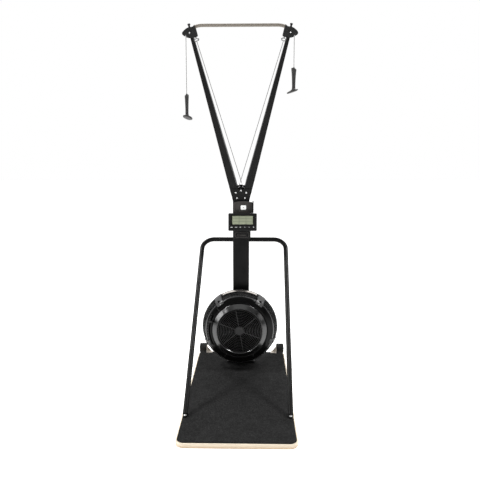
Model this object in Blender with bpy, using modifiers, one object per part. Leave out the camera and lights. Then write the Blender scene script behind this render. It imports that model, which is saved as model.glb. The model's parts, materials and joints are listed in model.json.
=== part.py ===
"""Upright ski trainer: a fan-braked column on a plywood deck, with two pull cords that hang from a V of arms.

Metres, +Z up, +X to the user's right, +Y away from the user. The origin is on the floor, at the middle of
the footprint. A name that starts with left_ or right_ is on that side, as the user sees it.
"""

from math import asin, atan2, copysign, cos, hypot, pi, radians, sin, tan

import bmesh
import bpy
from mathutils import Matrix, Vector

GAP = 0.0003  # clearance between two pieces that touch

# ---- deck
DECK_WIDTH = 0.600
DECK_LENGTH = 1.280
DECK_THICK = 0.024
DECK_CORNER = 0.045
MAT_THICK = 0.004
MAT_INSET = 0.007
MAT_TOP = DECK_THICK + GAP + MAT_THICK

# ---- transport wheels, behind the deck's rear edge
WHEEL_RADIUS = 0.035
WHEEL_WIDTH = 0.052
WHEEL_X = 0.272
WHEEL_PIN = 0.006
WHEEL_Z = WHEEL_RADIUS + 0.003
WHEEL_BEHIND = WHEEL_RADIUS + 0.006
FRONT_Y = -(DECK_LENGTH + WHEEL_BEHIND + WHEEL_RADIUS) / 2
REAR_Y = FRONT_Y + DECK_LENGTH

# ---- column
COLUMN_WIDTH = 0.106
COLUMN_DEPTH = 0.062
COLUMN_WALL = 0.003
COLUMN_FRONT = FRONT_Y + 1.090
COLUMN_Y = COLUMN_FRONT + COLUMN_DEPTH / 2
COLUMN_BACK = COLUMN_FRONT + COLUMN_DEPTH
COLUMN_TOP = 1.145
FOOT_THICK = 0.008
FOOT_TOP = MAT_TOP + GAP + FOOT_THICK

# ---- arms: a V that leans towards the user from the column's top
HEAD_Y = COLUMN_Y - 0.3325
HEAD_Z = 2.087
LEAN = atan2(COLUMN_Y - HEAD_Y, HEAD_Z - COLUMN_TOP)
HEAD_UP = hypot(COLUMN_Y - HEAD_Y, HEAD_Z - COLUMN_TOP)
HEAD_X = 0.2845
ARM_FOOT_OUT = 0.0608  # the arm's outer edge where the lean starts
ARM_FOOT_IN = 0.0072
ARM_SLOPE_OUT = 0.2285
ARM_SLOPE_IN = 0.2631
ARM_CHANNEL = 0.0200  # half the slot that the cords run down, between the arms' feet
ARM_TOP_DEPTH = 0.026
ARM_FOOT_RISE = 0.001
ARM_FOOT_LOW = -0.005
ARM_PLATE_UP = 0.075
ARM_CHEEK_UP = HEAD_UP - 0.048
ARM_END_UP = HEAD_UP - 0.031
ARM_WALL = 0.003
PLATE_THICK = 0.004
NOTCH_WIDTH = 0.0065
NOTCH_TOP = -0.0125
GUIDE_WIDTH = 0.0190
GUIDE_TALL = 0.0110
GUIDE_DOWN = 0.0490  # along the inner cord, from where it leaves the head pulley
GUIDE_TONGUE = -0.0062
STRAP_DOWN = 0.110
STRAP_WIDTH = 0.018
STRAP_BACK = 0.0021  # the arm is this much deeper at the strap's low end than at the head

# ---- cords and pulleys
CORD_RADIUS = 0.00175
PULLEY_RADIUS = 0.0225  # out to the cord's centre line
PULLEY_FLANGE = 0.0250
PIN_RADIUS = 0.005
PULLEY_WIDTH = 0.0175  # the groove is wide, because the hanging cord leaves it at the lean
CENTRE_RADIUS = 0.016
CENTRE_FLANGE = 0.0190
CENTRE_UP = 0.046
LANE = 0.013  # the left cord runs this far in front of the column's middle, the right one as far behind
CORD_X = HEAD_X + PULLEY_RADIUS
DROP_SINK = 0.006  # the hanging cord reaches this far into the handle's eye
SHOCK_RADIUS = 0.0026
SHOCK_TOP = 0.95

# ---- handles
HANDLE_LENGTH = 0.137
PADDLE_SIZE = (0.066, 0.040)
PADDLE_THICK = 0.0055
PADDLE_TIP = radians(-18)
PADDLE_SHIFT = -0.0070
GRIP_OVAL = 0.74  # the shaft's depth, as a share of its width
LEFT_HANDLE_TURN = radians(-138)
LEFT_HANDLE_TOP = 1.745
RIGHT_HANDLE_TOP = 1.890

# ---- fan, measured forwards from the column's front face
FAN_X = -0.006
FAN_Z = 0.292
FAN_RADIUS = 0.2435
FAN_RIM = 0.060
COVER_RADIUS = 0.2165
COVER_RIM = 0.140
BEZEL_OUT = 0.1735
BEZEL_OUT_AT = 0.160
BEZEL_IN = 0.145
BEZEL_IN_AT = 0.181
SHEET = 0.003
SLOT_RADIUS = 0.193  # the damper lever's slot in the front cover
LEVER_TURN = radians(162)
SLOT_HALF = 0.0045
AXLE_RADIUS = 0.008
DRUM_RADIUS = 0.022

# ---- brace
BRACE_TUBE = 0.0145
BRACE_TOP_Z = 0.8455
BRACE_TOP_X = 0.274  # half the spacing of the legs at the top bar
BRACE_SHIFT = 0.020  # the top bar sits this far right of the column's middle
BRACE_FOOT_X = 0.279
BRACE_FOOT_Y = FRONT_Y + 0.283
BRACE_BEND = 0.078
BRACE_Y = COLUMN_BACK + GAP + BRACE_TUBE

# ---- console
CONSOLE_X = 0.011
CONSOLE_Z = 0.972
CONSOLE_FRONT = FRONT_Y + 1.018
CONSOLE_SIZE = (0.182, 0.113, 0.034)
CONSOLE_TILT = radians(8)
PIVOT_BACK = 0.048  # the tilt pin, behind the console's front face
PIVOT_DOWN = 0.034
SCREEN_SIZE = (0.133, 0.055)
SCREEN_UP = 0.012
BUTTON_SIZE = (0.0225, 0.0095, 0.0050)
BUTTON_PITCH = 0.0278
BUTTON_DOWN = 0.0315
BUTTON_PROUD = 0.0017
BUTTON_TRAVEL = 0.0015
HOLDER_SIZE = (0.132, 0.078, 0.006)

TILT_PIN = 0.0040
BUTTON_PLAY = 0.0008  # the pockets are this much larger than the buttons

UP_FRONT = (pi / 2, 0, 0)  # turns a flat XY drawing up to face the user: its +Z points at them


def clear_scene():
    for obj in list(bpy.data.objects):
        bpy.data.objects.remove(obj, do_unlink=True)


def new_collection(name):
    collection = bpy.data.collections.new(name)
    bpy.context.scene.collection.children.link(collection)
    return collection


clear_scene()
PARTS = new_collection("ski_trainer")
CUTTERS = new_collection("cutters")


def finish(name, colour, roughness, metallic=0.0):
    material = bpy.data.materials.new(name)
    material.use_nodes = True
    shader = material.node_tree.nodes["Principled BSDF"]
    shader.inputs["Base Color"].default_value = (*colour, 1)
    shader.inputs["Roughness"].default_value = roughness
    shader.inputs["Metallic"].default_value = metallic
    return material


FINISHES = {
    "frame": ((0.016, 0.016, 0.017), 0.42, 0.3),
    "tube": ((0.30, 0.28, 0.26), 0.35, 0.9),
    "plastic": ((0.014, 0.014, 0.015), 0.35, 0.0),
    "gloss": ((0.008, 0.008, 0.009), 0.12, 0.0),
    "grip": ((0.040, 0.040, 0.038), 0.60, 0.0),
    "mat": ((0.030, 0.030, 0.031), 0.85, 0.0),
    "ply": ((0.80, 0.66, 0.47), 0.55, 0.0),
    "rubber": ((0.020, 0.020, 0.020), 0.80, 0.0),
    "steel": ((0.62, 0.62, 0.63), 0.28, 1.0),
    "alloy": ((0.55, 0.55, 0.56), 0.40, 0.9),
    "zinc": ((0.60, 0.57, 0.50), 0.45, 0.8),
    "mesh": ((0.035, 0.035, 0.037), 0.40, 0.6),
    "cord": ((0.55, 0.55, 0.54), 0.80, 0.0),
    "elastic": ((0.05, 0.05, 0.06), 0.80, 0.0),
    "screen": ((0.33, 0.37, 0.26), 0.25, 0.0),
    "holder": ((0.045, 0.043, 0.040), 0.50, 0.0),
}
MATERIALS = {slot: finish(slot, *values) for slot, values in FINISHES.items()}


def keep(obj, name, slot, parent=None, sharp=35):
    """Names a finished piece, gives it its material and files it with the parts."""
    obj.name = name
    obj.data.name = name
    obj.data.materials.clear()
    obj.data.materials.append(MATERIALS[slot])
    for collection in list(obj.users_collection):
        collection.objects.unlink(obj)
    PARTS.objects.link(obj)
    if obj.type == "MESH":
        obj.data.shade_smooth()
        obj.data.set_sharp_from_angle(angle=radians(sharp))
    if parent:
        obj.parent = parent
    return obj


def new_object(name, data):
    obj = bpy.data.objects.new(name, data)
    bpy.context.scene.collection.objects.link(obj)
    return obj


def frame_at(name, location, rotation=(0, 0, 0), parent=None):
    """An empty that pieces are built on."""
    empty = bpy.data.objects.new(name, None)
    PARTS.objects.link(empty)
    empty.location = location
    empty.rotation_euler = rotation
    empty.parent = parent
    return empty


def block(size, centre=(0, 0, 0), bevel=0.0, segments=2):
    bpy.ops.mesh.primitive_cube_add(size=1)
    obj = bpy.context.object
    obj.data.transform(Matrix.Diagonal((*size, 1)))
    obj.location = centre
    if bevel:
        edges = obj.modifiers.new("rounding", "BEVEL")
        edges.width = bevel
        edges.segments = segments
    return obj


def rod(radius, length, centre=(0, 0, 0), rotation=(0, 0, 0), sides=24):
    bpy.ops.mesh.primitive_cylinder_add(vertices=sides, radius=radius, depth=length)
    obj = bpy.context.object
    obj.location = centre
    obj.rotation_euler = rotation
    return obj


def turned(profile, steps=32, closed=False):
    """A profile of (radius, height), top to bottom down its outer side, turned about Z."""
    mesh = bpy.data.meshes.new("profile")
    count = len(profile)
    edges = [(i, i + 1) for i in range(count - 1)]
    if closed:
        edges.append((count - 1, 0))
    mesh.from_pydata([(r, 0, h) for r, h in profile], edges, [])
    obj = new_object("turned", mesh)
    screw = obj.modifiers.new("turn", "SCREW")
    screw.steps = screw.render_steps = steps
    screw.use_merge_vertices = True
    screw.merge_threshold = 0.00005
    return obj


def drawing(outlines, thick, cyclic_bezier=False):
    """A flat outline, with any holes, given half its thickness each way along Z."""
    curve = bpy.data.curves.new("outline", "CURVE")
    curve.dimensions = "2D"
    curve.fill_mode = "BOTH"
    curve.extrude = thick / 2
    for outline in outlines:
        if cyclic_bezier and outline is outlines[0]:
            spline = curve.splines.new("BEZIER")
            spline.bezier_points.add(len(outline) - 1)
            for point, (x, y, handle) in zip(spline.bezier_points, outline):
                point.co = (x, y, 0)
                point.handle_left_type = point.handle_right_type = handle
            spline.resolution_u = 5
        else:
            spline = curve.splines.new("POLY")
            spline.points.add(len(outline) - 1)
            for point, (x, y) in zip(spline.points, outline):
                point.co = (x, y, 0, 1)
        spline.use_cyclic_u = True
    return new_object("drawing", curve)


def circle(radius, sides=24, centre=(0, 0)):
    turns = [2 * pi * i / sides for i in range(sides)]
    return [(centre[0] + radius * cos(a), centre[1] + radius * sin(a)) for a in turns]


def rounded(width, height, radius, steps=6, centre=(0, 0)):
    """A rectangle with round corners."""
    points = []
    for quarter, (sx, sy) in enumerate([(1, 1), (-1, 1), (-1, -1), (1, -1)]):
        cx = centre[0] + sx * (width / 2 - radius)
        cy = centre[1] + sy * (height / 2 - radius)
        for i in range(steps + 1):
            a = pi / 2 * (quarter + i / steps)
            points.append((cx + radius * cos(a), cy + radius * sin(a)))
    return points


def to_mesh(obj):
    """The piece with its modifiers applied and its place kept, ready for a Boolean."""
    bpy.context.view_layer.update()
    graph = bpy.context.evaluated_depsgraph_get()
    mesh = bpy.data.meshes.new_from_object(obj.evaluated_get(graph))
    shape = bmesh.new()
    shape.from_mesh(mesh)
    bmesh.ops.remove_doubles(shape, verts=shape.verts, dist=0.000002)
    bmesh.ops.recalc_face_normals(shape, faces=shape.faces)
    bmesh.ops.triangulate(shape, faces=shape.faces)
    shape.to_mesh(mesh)
    shape.free()
    result = new_object("solid", mesh)
    result.matrix_world = obj.matrix_world.copy()
    bpy.data.objects.remove(obj, do_unlink=True)
    return result


def combine(first, others, operation, solver="EXACT"):
    """Joins the others to a mesh, or cuts them from it."""
    for other in others:
        tool = to_mesh(other)
        step = first.modifiers.new(operation.lower(), "BOOLEAN")
        step.operation = operation
        step.solver = solver
        step.object = tool
        tool.hide_render = True
        tool.display_type = "WIRE"
        for collection in list(tool.users_collection):
            collection.objects.unlink(tool)
        CUTTERS.objects.link(tool)
    return to_mesh(first)


def cut(first, *others):
    return combine(first, others, "DIFFERENCE")


def join(first, *others, solver="EXACT"):
    return combine(first, others, "UNION", solver)


def loft(sections, hollow=False):
    """A solid through sections of equal point counts. With hollow, each is an outer and an inner ring."""
    shape = bmesh.new()
    rings = [[shape.verts.new(point) for point in section] for section in sections]
    size = len(rings[0]) // 2 if hollow else len(rings[0])
    for below, above in zip(rings, rings[1:]):
        for start in range(0, len(below), size):
            for i in range(size):
                a = start + i
                b = start + (i + 1) % size
                shape.faces.new((below[a], below[b], above[b], above[a]))
    for ring in (rings[0], rings[-1]):
        if hollow:
            for i in range(size):
                j = (i + 1) % size
                shape.faces.new((ring[i], ring[j], ring[size + j], ring[size + i]))
        else:
            shape.faces.new(ring)
    bmesh.ops.recalc_face_normals(shape, faces=shape.faces)
    mesh = bpy.data.meshes.new("loft")
    shape.to_mesh(mesh)
    shape.free()
    return new_object("loft", mesh)


def tube(points, radius, resolution=2):
    """A round bar or cord along a list of points."""
    curve = bpy.data.curves.new("run", "CURVE")
    curve.dimensions = "3D"
    curve.bevel_depth = radius
    curve.bevel_resolution = resolution
    curve.use_fill_caps = True
    spline = curve.splines.new("POLY")
    spline.points.add(len(points) - 1)
    for point, place in zip(spline.points, points):
        point.co = (*place, 1)
    return new_object("tube", curve)


def arc(centre, radius, start, end, steps):
    """Points (x, y) on an arc, angles in radians."""
    turns = [start + (end - start) * i / steps for i in range(steps + 1)]
    return [(centre[0] + radius * cos(a), centre[1] + radius * sin(a)) for a in turns]


SIDES = (("left", -1), ("right", 1))
ARM_PLANE = frame_at("arm_plane", (0, COLUMN_Y, COLUMN_TOP), (pi / 2 + LEAN, 0, 0))
FAN_FRAME = frame_at("fan_frame", (FAN_X, COLUMN_FRONT, FAN_Z), UP_FRONT)


def on_plane(x, up, out=0.0):
    """The world place of a point of the leaning plane: x, distance up it, distance in front of it."""
    y = COLUMN_Y - up * sin(LEAN) - out * cos(LEAN)
    z = COLUMN_TOP + up * cos(LEAN) - out * sin(LEAN)
    return Vector((x, y, z))


# ---------------------------------------------------------------- deck
def make_deck():
    deck = drawing([rounded(DECK_WIDTH, DECK_LENGTH, DECK_CORNER, 8)], DECK_THICK)
    deck.location = (0, FRONT_Y + DECK_LENGTH / 2, DECK_THICK / 2)
    keep(to_mesh(deck), "plywood_deck", "ply")
    outline = rounded(DECK_WIDTH - 2 * MAT_INSET, DECK_LENGTH - 2 * MAT_INSET, DECK_CORNER - MAT_INSET, 8)
    mat = drawing([outline], MAT_THICK)
    mat.location = (0, FRONT_Y + DECK_LENGTH / 2, DECK_THICK + GAP + MAT_THICK / 2)
    keep(to_mesh(mat), "deck_mat", "mat")


def make_wheel(side, sign):
    """A ribbed roller on a zinc bracket, whose stub pin is welded to its cheek."""
    axle = frame_at(side + "_wheel_axis", (sign * WHEEL_X, REAR_Y + WHEEL_BEHIND, WHEEL_Z), (0, pi / 2, 0))
    half = WHEEL_WIDTH / 2
    edge = 0.005
    bore = 0.0062
    profile = [
        (bore, half),
        (WHEEL_RADIUS - edge, half),
        (WHEEL_RADIUS, half - edge),
        (WHEEL_RADIUS, edge - half),
        (WHEEL_RADIUS - edge, -half),
        (bore, -half),
    ]
    keep(turned(profile, 32, closed=True), side + "_wheel", "rubber", axle)
    cheek_thick = 0.004
    cheek_x = sign * (WHEEL_X - half - 0.001 - cheek_thick / 2)
    low = MAT_TOP + GAP
    top = low + 0.046
    reach = WHEEL_BEHIND + 0.014
    side_view = [
        (-0.036, low),
        (0, low),
        (reach, low - 0.006),
        (reach, low + 0.022),
        (0.002, top),
        (-0.012, top),
    ]
    cheek = drawing([side_view], cheek_thick)
    cheek.matrix_world = Matrix(((0, 0, 1, cheek_x), (1, 0, 0, REAR_Y), (0, 1, 0, 0), (0, 0, 0, 1)))
    flange_x = cheek_x - sign * 0.019
    flange = block((0.040, 0.034, 0.004), (flange_x, REAR_Y - 0.020, low + 0.002))
    gusset = drawing([[(0, 0), (-sign * 0.034, 0), (0, 0.038)]], 0.004)
    gusset.location = (cheek_x, REAR_Y - 0.009, low + 0.002)
    gusset.rotation_euler = UP_FRONT
    pin_length = WHEEL_WIDTH + 0.006
    pin_at = (cheek_x + sign * pin_length / 2, REAR_Y + WHEEL_BEHIND, WHEEL_Z)
    pin = rod(WHEEL_PIN, pin_length, pin_at, (0, pi / 2, 0), 16)
    keep(join(to_mesh(cheek), flange, gusset, pin), side + "_wheel_bracket", "zinc")


# ---------------------------------------------------------------- column and brace
def make_column():
    height = COLUMN_TOP - GAP - FOOT_TOP - GAP
    middle = FOOT_TOP + GAP + height / 2
    inner = (COLUMN_WIDTH - 2 * COLUMN_WALL, COLUMN_DEPTH - 2 * COLUMN_WALL)
    shape = drawing([rounded(COLUMN_WIDTH, COLUMN_DEPTH, 0.008, 3), rounded(*inner, 0.005, 3)], height)
    shape.location = (0, COLUMN_Y, middle)
    bore = rod(0.0130 + GAP, COLUMN_DEPTH * 2, (FAN_X, COLUMN_Y, FAN_Z), UP_FRONT, 24)
    keep(cut(to_mesh(shape), bore), "column", "frame")
    foot = block((0.186, 0.122, FOOT_THICK), (0, COLUMN_Y + 0.006, FOOT_TOP - FOOT_THICK / 2), 0.002)
    spigot = drawing([rounded(inner[0] - 0.001, inner[1] - 0.001, 0.006, 3)], 0.060)
    spigot.location = (0, COLUMN_Y, FOOT_TOP + 0.028)
    foot = join(to_mesh(foot), spigot)
    for sign in (-1, 1):
        web = drawing([[(0, 0), (sign * 0.034, 0), (0, 0.070)]], 0.005)
        web.location = (sign * (COLUMN_WIDTH / 2 + GAP), COLUMN_BACK - 0.010, FOOT_TOP - 0.001)
        web.rotation_euler = UP_FRONT
        foot = join(foot, web)
    keep(foot, "column_foot", "frame")


def brace_route():
    """The U's centre line: up the left leg, round two bends, along the bar and down the right leg."""
    corners = []
    for side, sign in SIDES:
        foot = Vector((sign * BRACE_FOOT_X, BRACE_FOOT_Y, MAT_TOP + GAP + 0.012))
        top = Vector((sign * BRACE_TOP_X + BRACE_SHIFT, BRACE_Y, BRACE_TOP_Z))
        corners.append((foot, top))
    route = []
    for index, (foot, top) in enumerate(corners):
        other = corners[1 - index][1]
        along = (foot - top).normalized()
        across = (other - top).normalized()
        angle = along.angle(across)
        back = BRACE_BEND / tan(angle / 2)
        middle = top + (along + across).normalized() * (BRACE_BEND / sin(angle / 2))
        start = top + along * back - middle
        end = top + across * back - middle
        bend = []
        for i in range(9):
            turn = (pi - angle) * i / 8
            bend.append(middle + (start * sin(pi - angle - turn) + end * sin(turn)) / sin(pi - angle))
        leg = [foot, *bend]
        route.extend(leg if index == 0 else reversed(leg))
    return route


def make_brace():
    route = brace_route()
    brace = to_mesh(tube(route, BRACE_TUBE, 3))
    tabs = []
    for foot in (route[0], route[-1]):
        # The tab is narrower in front, where the leg's end is pressed flat.
        outline = [
            (-0.011, -0.022),
            (0.011, -0.022),
            (BRACE_TUBE, 0.004),
            (BRACE_TUBE, 0.030),
            (-BRACE_TUBE, 0.030),
            (-BRACE_TUBE, 0.004),
        ]
        tab = drawing([outline], 0.006)
        tab.location = (foot.x, foot.y, MAT_TOP + GAP + 0.003)
        tabs.append(tab)
    brace = join(brace, *tabs)
    floor = block((1, 0.4, 0.05), (0, BRACE_FOOT_Y, MAT_TOP + GAP - 0.025))
    keep(cut(brace, floor), "brace_tube", "frame")
    wall = 0.006
    clamp_size = (0.060, BRACE_TUBE * 2 + wall, 0.062)
    clamp = block(clamp_size, (BRACE_SHIFT / 2, BRACE_Y + wall / 2, BRACE_TOP_Z), 0.003)
    slot = rod(BRACE_TUBE + GAP, 0.2, (0, BRACE_Y, BRACE_TOP_Z), (0, pi / 2, 0), 24)
    mouth = block((0.2, BRACE_TUBE * 2, 2 * BRACE_TUBE + 2 * GAP), (0, BRACE_Y - BRACE_TUBE, BRACE_TOP_Z))
    keep(cut(to_mesh(clamp), slot, mouth), "brace_clamp", "frame")


# ---------------------------------------------------------------- arms
def arm_edges(up):
    """The arm's inner and outer X at a distance up the plane."""
    inner = ARM_FOOT_IN + ARM_SLOPE_IN * up
    return max(inner, ARM_CHANNEL), ARM_FOOT_OUT + ARM_SLOPE_OUT * up


def arm_depth(up):
    """Full between the V plates, then falling evenly to the head's cheeks."""
    fall = min(1.0, max(0.0, (up - ARM_PLATE_UP) / (ARM_CHEEK_UP - ARM_PLATE_UP)))
    return (COLUMN_DEPTH - 2 * GAP) * (1 - fall) + ARM_TOP_DEPTH * fall


def make_arm(side, sign):
    notch = (ARM_CHANNEL - ARM_FOOT_IN) / ARM_SLOPE_IN
    sections = []
    for up in (0.0, notch, ARM_PLATE_UP, ARM_CHEEK_UP, ARM_END_UP):
        inner, outer = arm_edges(up)
        half = arm_depth(up) / 2
        rings = []
        for wall in (0.0, ARM_WALL):
            low, high = inner + wall, outer - wall
            deep = half - wall
            rings += [(low, deep), (high, deep), (high, -deep), (low, -deep)]
        # The foot is cut level, just above the column's top, and ends at the bend of the rear plate.
        section = []
        for x, y in rings:
            level = (ARM_FOOT_RISE + y * sin(LEAN)) / cos(LEAN)
            section.append((sign * x, up or max(ARM_FOOT_LOW, level), y))
        sections.append(section)
    keep(loft(sections, hollow=True), side + "_arm", "frame", ARM_PLANE)


def make_v_plate(name, face):
    """A plate bent where the arms start to lean. face is 1 in front and -1 behind."""
    stand = COLUMN_DEPTH / 2 + GAP
    rows = [(-0.045, 0.0515), (0.0, 0.0603), (0.034, 0.0684), (0.0525, 0.0716), (0.0545, 0.0690)]
    sections = []
    for up, half in rows:
        places = []
        for out in (stand, stand + PLATE_THICK):
            if up < 0:
                level = Vector((0, COLUMN_Y - face * out, COLUMN_TOP + up))
            elif up == 0:
                shift = -face * out * tan(LEAN / 2)
                level = Vector((0, COLUMN_Y - face * out, COLUMN_TOP + shift))
            else:
                level = on_plane(0, up, face * out)
            places.append(level)
        near, far = places
        sections.append([near + Vector((-half, 0, 0)), near + Vector((half, 0, 0)),
                         far + Vector((half, 0, 0)), far + Vector((-half, 0, 0))])
    plate = to_mesh(loft(sections))
    hole = rod(0.0042, 0.2, on_plane(0, CENTRE_UP), (pi / 2 + LEAN, 0, 0), 16)
    keep(cut(plate, hole), name, "frame")


def make_cross_tube():
    end = HEAD_X - 0.0275
    knee = 0.226
    up = HEAD_UP + 0.036
    points = [(-end, up - 0.008), (-knee - 0.008, up - 0.0015), (-knee + 0.006, up), (0, up)]
    points += [(-x, y) for x, y in reversed(points[:-1])]
    keep(to_mesh(tube([(x, y, 0) for x, y in points], 0.0078, 3)), "cross_tube", "tube", ARM_PLANE)


def head_outline(sign):
    """The teardrop cheek, from the cross tube's corner round the nose: x outwards from the pulley's axis."""
    points = [
        (-0.0300, 0.0380, "VECTOR"),
        (-0.0235, 0.0360, "AUTO"),
        (-0.0165, 0.0295, "AUTO"),
        (0.0100, 0.0240, "AUTO"),
        (0.0300, 0.0125, "AUTO"),
        (0.0430, -0.0045, "AUTO"),
        (0.0290, -0.0195, "AUTO"),
        (0.0060, -0.0290, "AUTO"),
        (-0.0120, -0.0295, "AUTO"),
        (-0.0440, -0.0220, "VECTOR"),
    ]
    return [(sign * x, y, handle) for x, y, handle in points]


def make_head(side, sign):
    axis = frame_at(side + "_head", (sign * HEAD_X, HEAD_UP, 0), (0, 0, 0), ARM_PLANE)
    half = ARM_TOP_DEPTH / 2 + GAP
    for name, face in (("front", 1), ("rear", -1)):
        cheek = drawing([head_outline(sign), circle(0.0052, 16)], PLATE_THICK, cyclic_bezier=True)
        if face < 0:
            # The rear cheek has a strap that lies down the back of the arm.
            inner, outer = arm_edges(HEAD_UP - STRAP_DOWN)
            foot = (inner + outer) / 2 - HEAD_X
            corners = [
                (-0.020, -0.025),
                (0, -0.025),
                (foot + STRAP_WIDTH / 2, -STRAP_DOWN),
                (foot - STRAP_WIDTH / 2, -STRAP_DOWN),
            ]
            strap = drawing([[(sign * x, y) for x, y in corners]], PLATE_THICK)
            strap.location.z = -STRAP_BACK
            cheek = join(to_mesh(cheek), strap)
        else:
            # The hanging cord swings towards the user through this notch.
            notch = block((NOTCH_WIDTH, 0.040, 0.020), (sign * PULLEY_RADIUS, NOTCH_TOP - 0.020, 0))
            cheek = cut(to_mesh(cheek), notch)
        cheek.location.z = face * (half + PLATE_THICK / 2)
        keep(cheek, f"{side}_head_{name}", "plastic", axis)
    flange = 0.0018
    lip = PULLEY_WIDTH / 2
    root = PULLEY_RADIUS - CORD_RADIUS - GAP
    profile = [
        (PIN_RADIUS + 0.0008, lip),
        (PULLEY_FLANGE, lip),
        (PULLEY_FLANGE, lip - flange),
        (root, 0.0036),
        (root, -0.0036),
        (PULLEY_FLANGE, flange - lip),
        (PULLEY_FLANGE, -lip),
        (PIN_RADIUS + 0.0008, -lip),
    ]
    keep(turned(profile, 24, closed=True), side + "_pulley", "plastic", axis)
    reach = half + PLATE_THICK
    head = 0.0085
    under = reach + GAP
    pin = [
        (0, under + 0.004),
        (head * 0.8, under + 0.004),
        (head, under + 0.0025),
        (head, under),
        (PIN_RADIUS, under),
        (PIN_RADIUS, -reach - 0.002),
        (0, -reach - 0.002),
    ]
    keep(turned(pin, 20), side + "_pulley_pin", "steel", axis)
    # The peg stands on the rear cheek's back and shows above its edge.
    stem = 0.0056
    knob = 0.0084
    peg = [
        (0, 0.0355),
        (knob - 0.0018, 0.0350),
        (knob, 0.0325),
        (knob, 0.0275),
        (stem, 0.0255),
        (stem, 0),
        (0, 0),
    ]
    peg = keep(turned(peg, 16), side + "_peg", "plastic", axis)
    peg.location = (sign * 0.0020, 0.0080, -reach - GAP - knob - 0.0002)
    peg.rotation_euler = (-pi / 2, 0, -sign * radians(8))
    # The guide is a stirrup that hangs below the cheeks' inner corner, with the inner cord through it.
    tongue = block((0.0060, 0.0300, 2 * half - 2 * GAP), (sign * GUIDE_TONGUE, 0.0140, 0), 0.001, 1)
    guide = block((GUIDE_WIDTH, GUIDE_TALL, 2 * half - 2 * GAP), (0, 0, 0), 0.002, 1)
    opening = rod(CORD_RADIUS + 0.0012, 0.05, (0, 0, 0), (pi / 2, 0, 0), 16)
    guide = cut(join(to_mesh(guide), tongue), opening)
    top, along, _ = cord_tangent(sign)
    place = top - along * GUIDE_DOWN - Vector((sign * HEAD_X, HEAD_UP))
    guide.location = (place.x, place.y, 0)
    guide.rotation_euler = (0, 0, atan2(-along.x, along.y))
    keep(guide, side + "_cord_guide", "steel", axis)


def cord_tangent(sign):
    """Where the inner run leaves the head pulley, its direction, and where it leaves the centre pulley.

    All three are in the leaning plane's own x and y.
    """
    low = Vector((0, CENTRE_UP))
    high = Vector((sign * HEAD_X, HEAD_UP))
    along = (high - low).normalized()
    across = Vector((along.y, -along.x)) * -sign
    turn = asin((PULLEY_RADIUS - CENTRE_RADIUS) / (high - low).length)
    normal = across * cos(turn) - along * sin(turn)
    return high + normal * PULLEY_RADIUS, along, low + normal * CENTRE_RADIUS


# ---------------------------------------------------------------- cords and what they run on
def make_centre_pulleys():
    """Two pulleys on the V's middle bolt turn the crossing cords down the column."""
    for side, sign in SIDES:
        axis = frame_at(side + "_centre_axis", (0, CENTRE_UP, -sign * LANE), (0, 0, 0), ARM_PLANE)
        root = CENTRE_RADIUS - CORD_RADIUS - GAP
        lip = 0.0055
        profile = [(0.0046, lip), (CENTRE_FLANGE, lip), (CENTRE_FLANGE, lip - 0.0015), (root, 0.0021),
                   (root, -0.0021), (CENTRE_FLANGE, 0.0015 - lip), (CENTRE_FLANGE, -lip), (0.0046, -lip)]
        keep(turned(profile, 24, closed=True), side + "_centre_pulley", "plastic", axis)
    reach = COLUMN_DEPTH / 2 + GAP + PLATE_THICK + GAP
    bolt = [(0, reach + 0.004), (0.0052, reach + 0.0036), (0.0065, reach + 0.002), (0.0065, reach),
            (0.0040, reach), (0.0040, -reach - 0.006), (0, -reach - 0.006)]
    bolt = keep(turned(bolt, 20), "centre_bolt", "steel", ARM_PLANE)
    bolt.location = (0, CENTRE_UP, 0)


def make_inner_cord(side, sign):
    """From the drum up inside the column, round the centre pulley, across the V and over the head pulley.

    Both cords leave the right-hand side of their drums, so both pulls turn the flywheel the same way.
    """
    lane = -sign * LANE
    x = -sign * CENTRE_RADIUS
    lane_y = COLUMN_Y - lane
    top, along, low = cord_tangent(sign)
    start = Vector((FAN_X + DRUM_RADIUS, lane_y, FAN_Z + 0.004))
    end = Vector((x, lane_y, COLUMN_TOP - 0.02))
    points = [start.lerp(end, part) for part in (0.0, 0.35, 0.7, 1.0)]
    points += [on_plane(x, up, lane) for up in (0.012, CENTRE_UP * 0.8, CENTRE_UP)]
    points.append(on_plane(low.x, low.y, lane))
    for part in (0.25, 0.5, 0.75, 1.0):
        place = low.lerp(top, part)
        points.append(on_plane(place.x, place.y, lane * (1 - part)))
    start = atan2(top.y - HEAD_UP, top.x - sign * HEAD_X)
    end = pi if sign < 0 else 0.0
    if sign > 0 and start < 0:
        start += 2 * pi
    over = arc((sign * HEAD_X, HEAD_UP), PULLEY_RADIUS, start, end, 12)
    points += [on_plane(px, py) for px, py in over[1:]]
    keep(to_mesh(tube(points, CORD_RADIUS)), side + "_inner_cord", "cord")


def make_drop(side, sign, handle_top):
    """The hanging cord, whose top is the pivot that it swings about."""
    pivot = frame_at(side + "_drop_pivot", (sign * CORD_X, HEAD_Y, HEAD_Z - 2 * GAP))
    length = HEAD_Z - 2 * GAP - handle_top + DROP_SINK
    steps = 24
    points = [(0, 0, -length * i / steps) for i in range(steps + 1)]
    keep(to_mesh(tube(points, CORD_RADIUS)), side + "_cord_drop", "cord", pivot)


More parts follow.
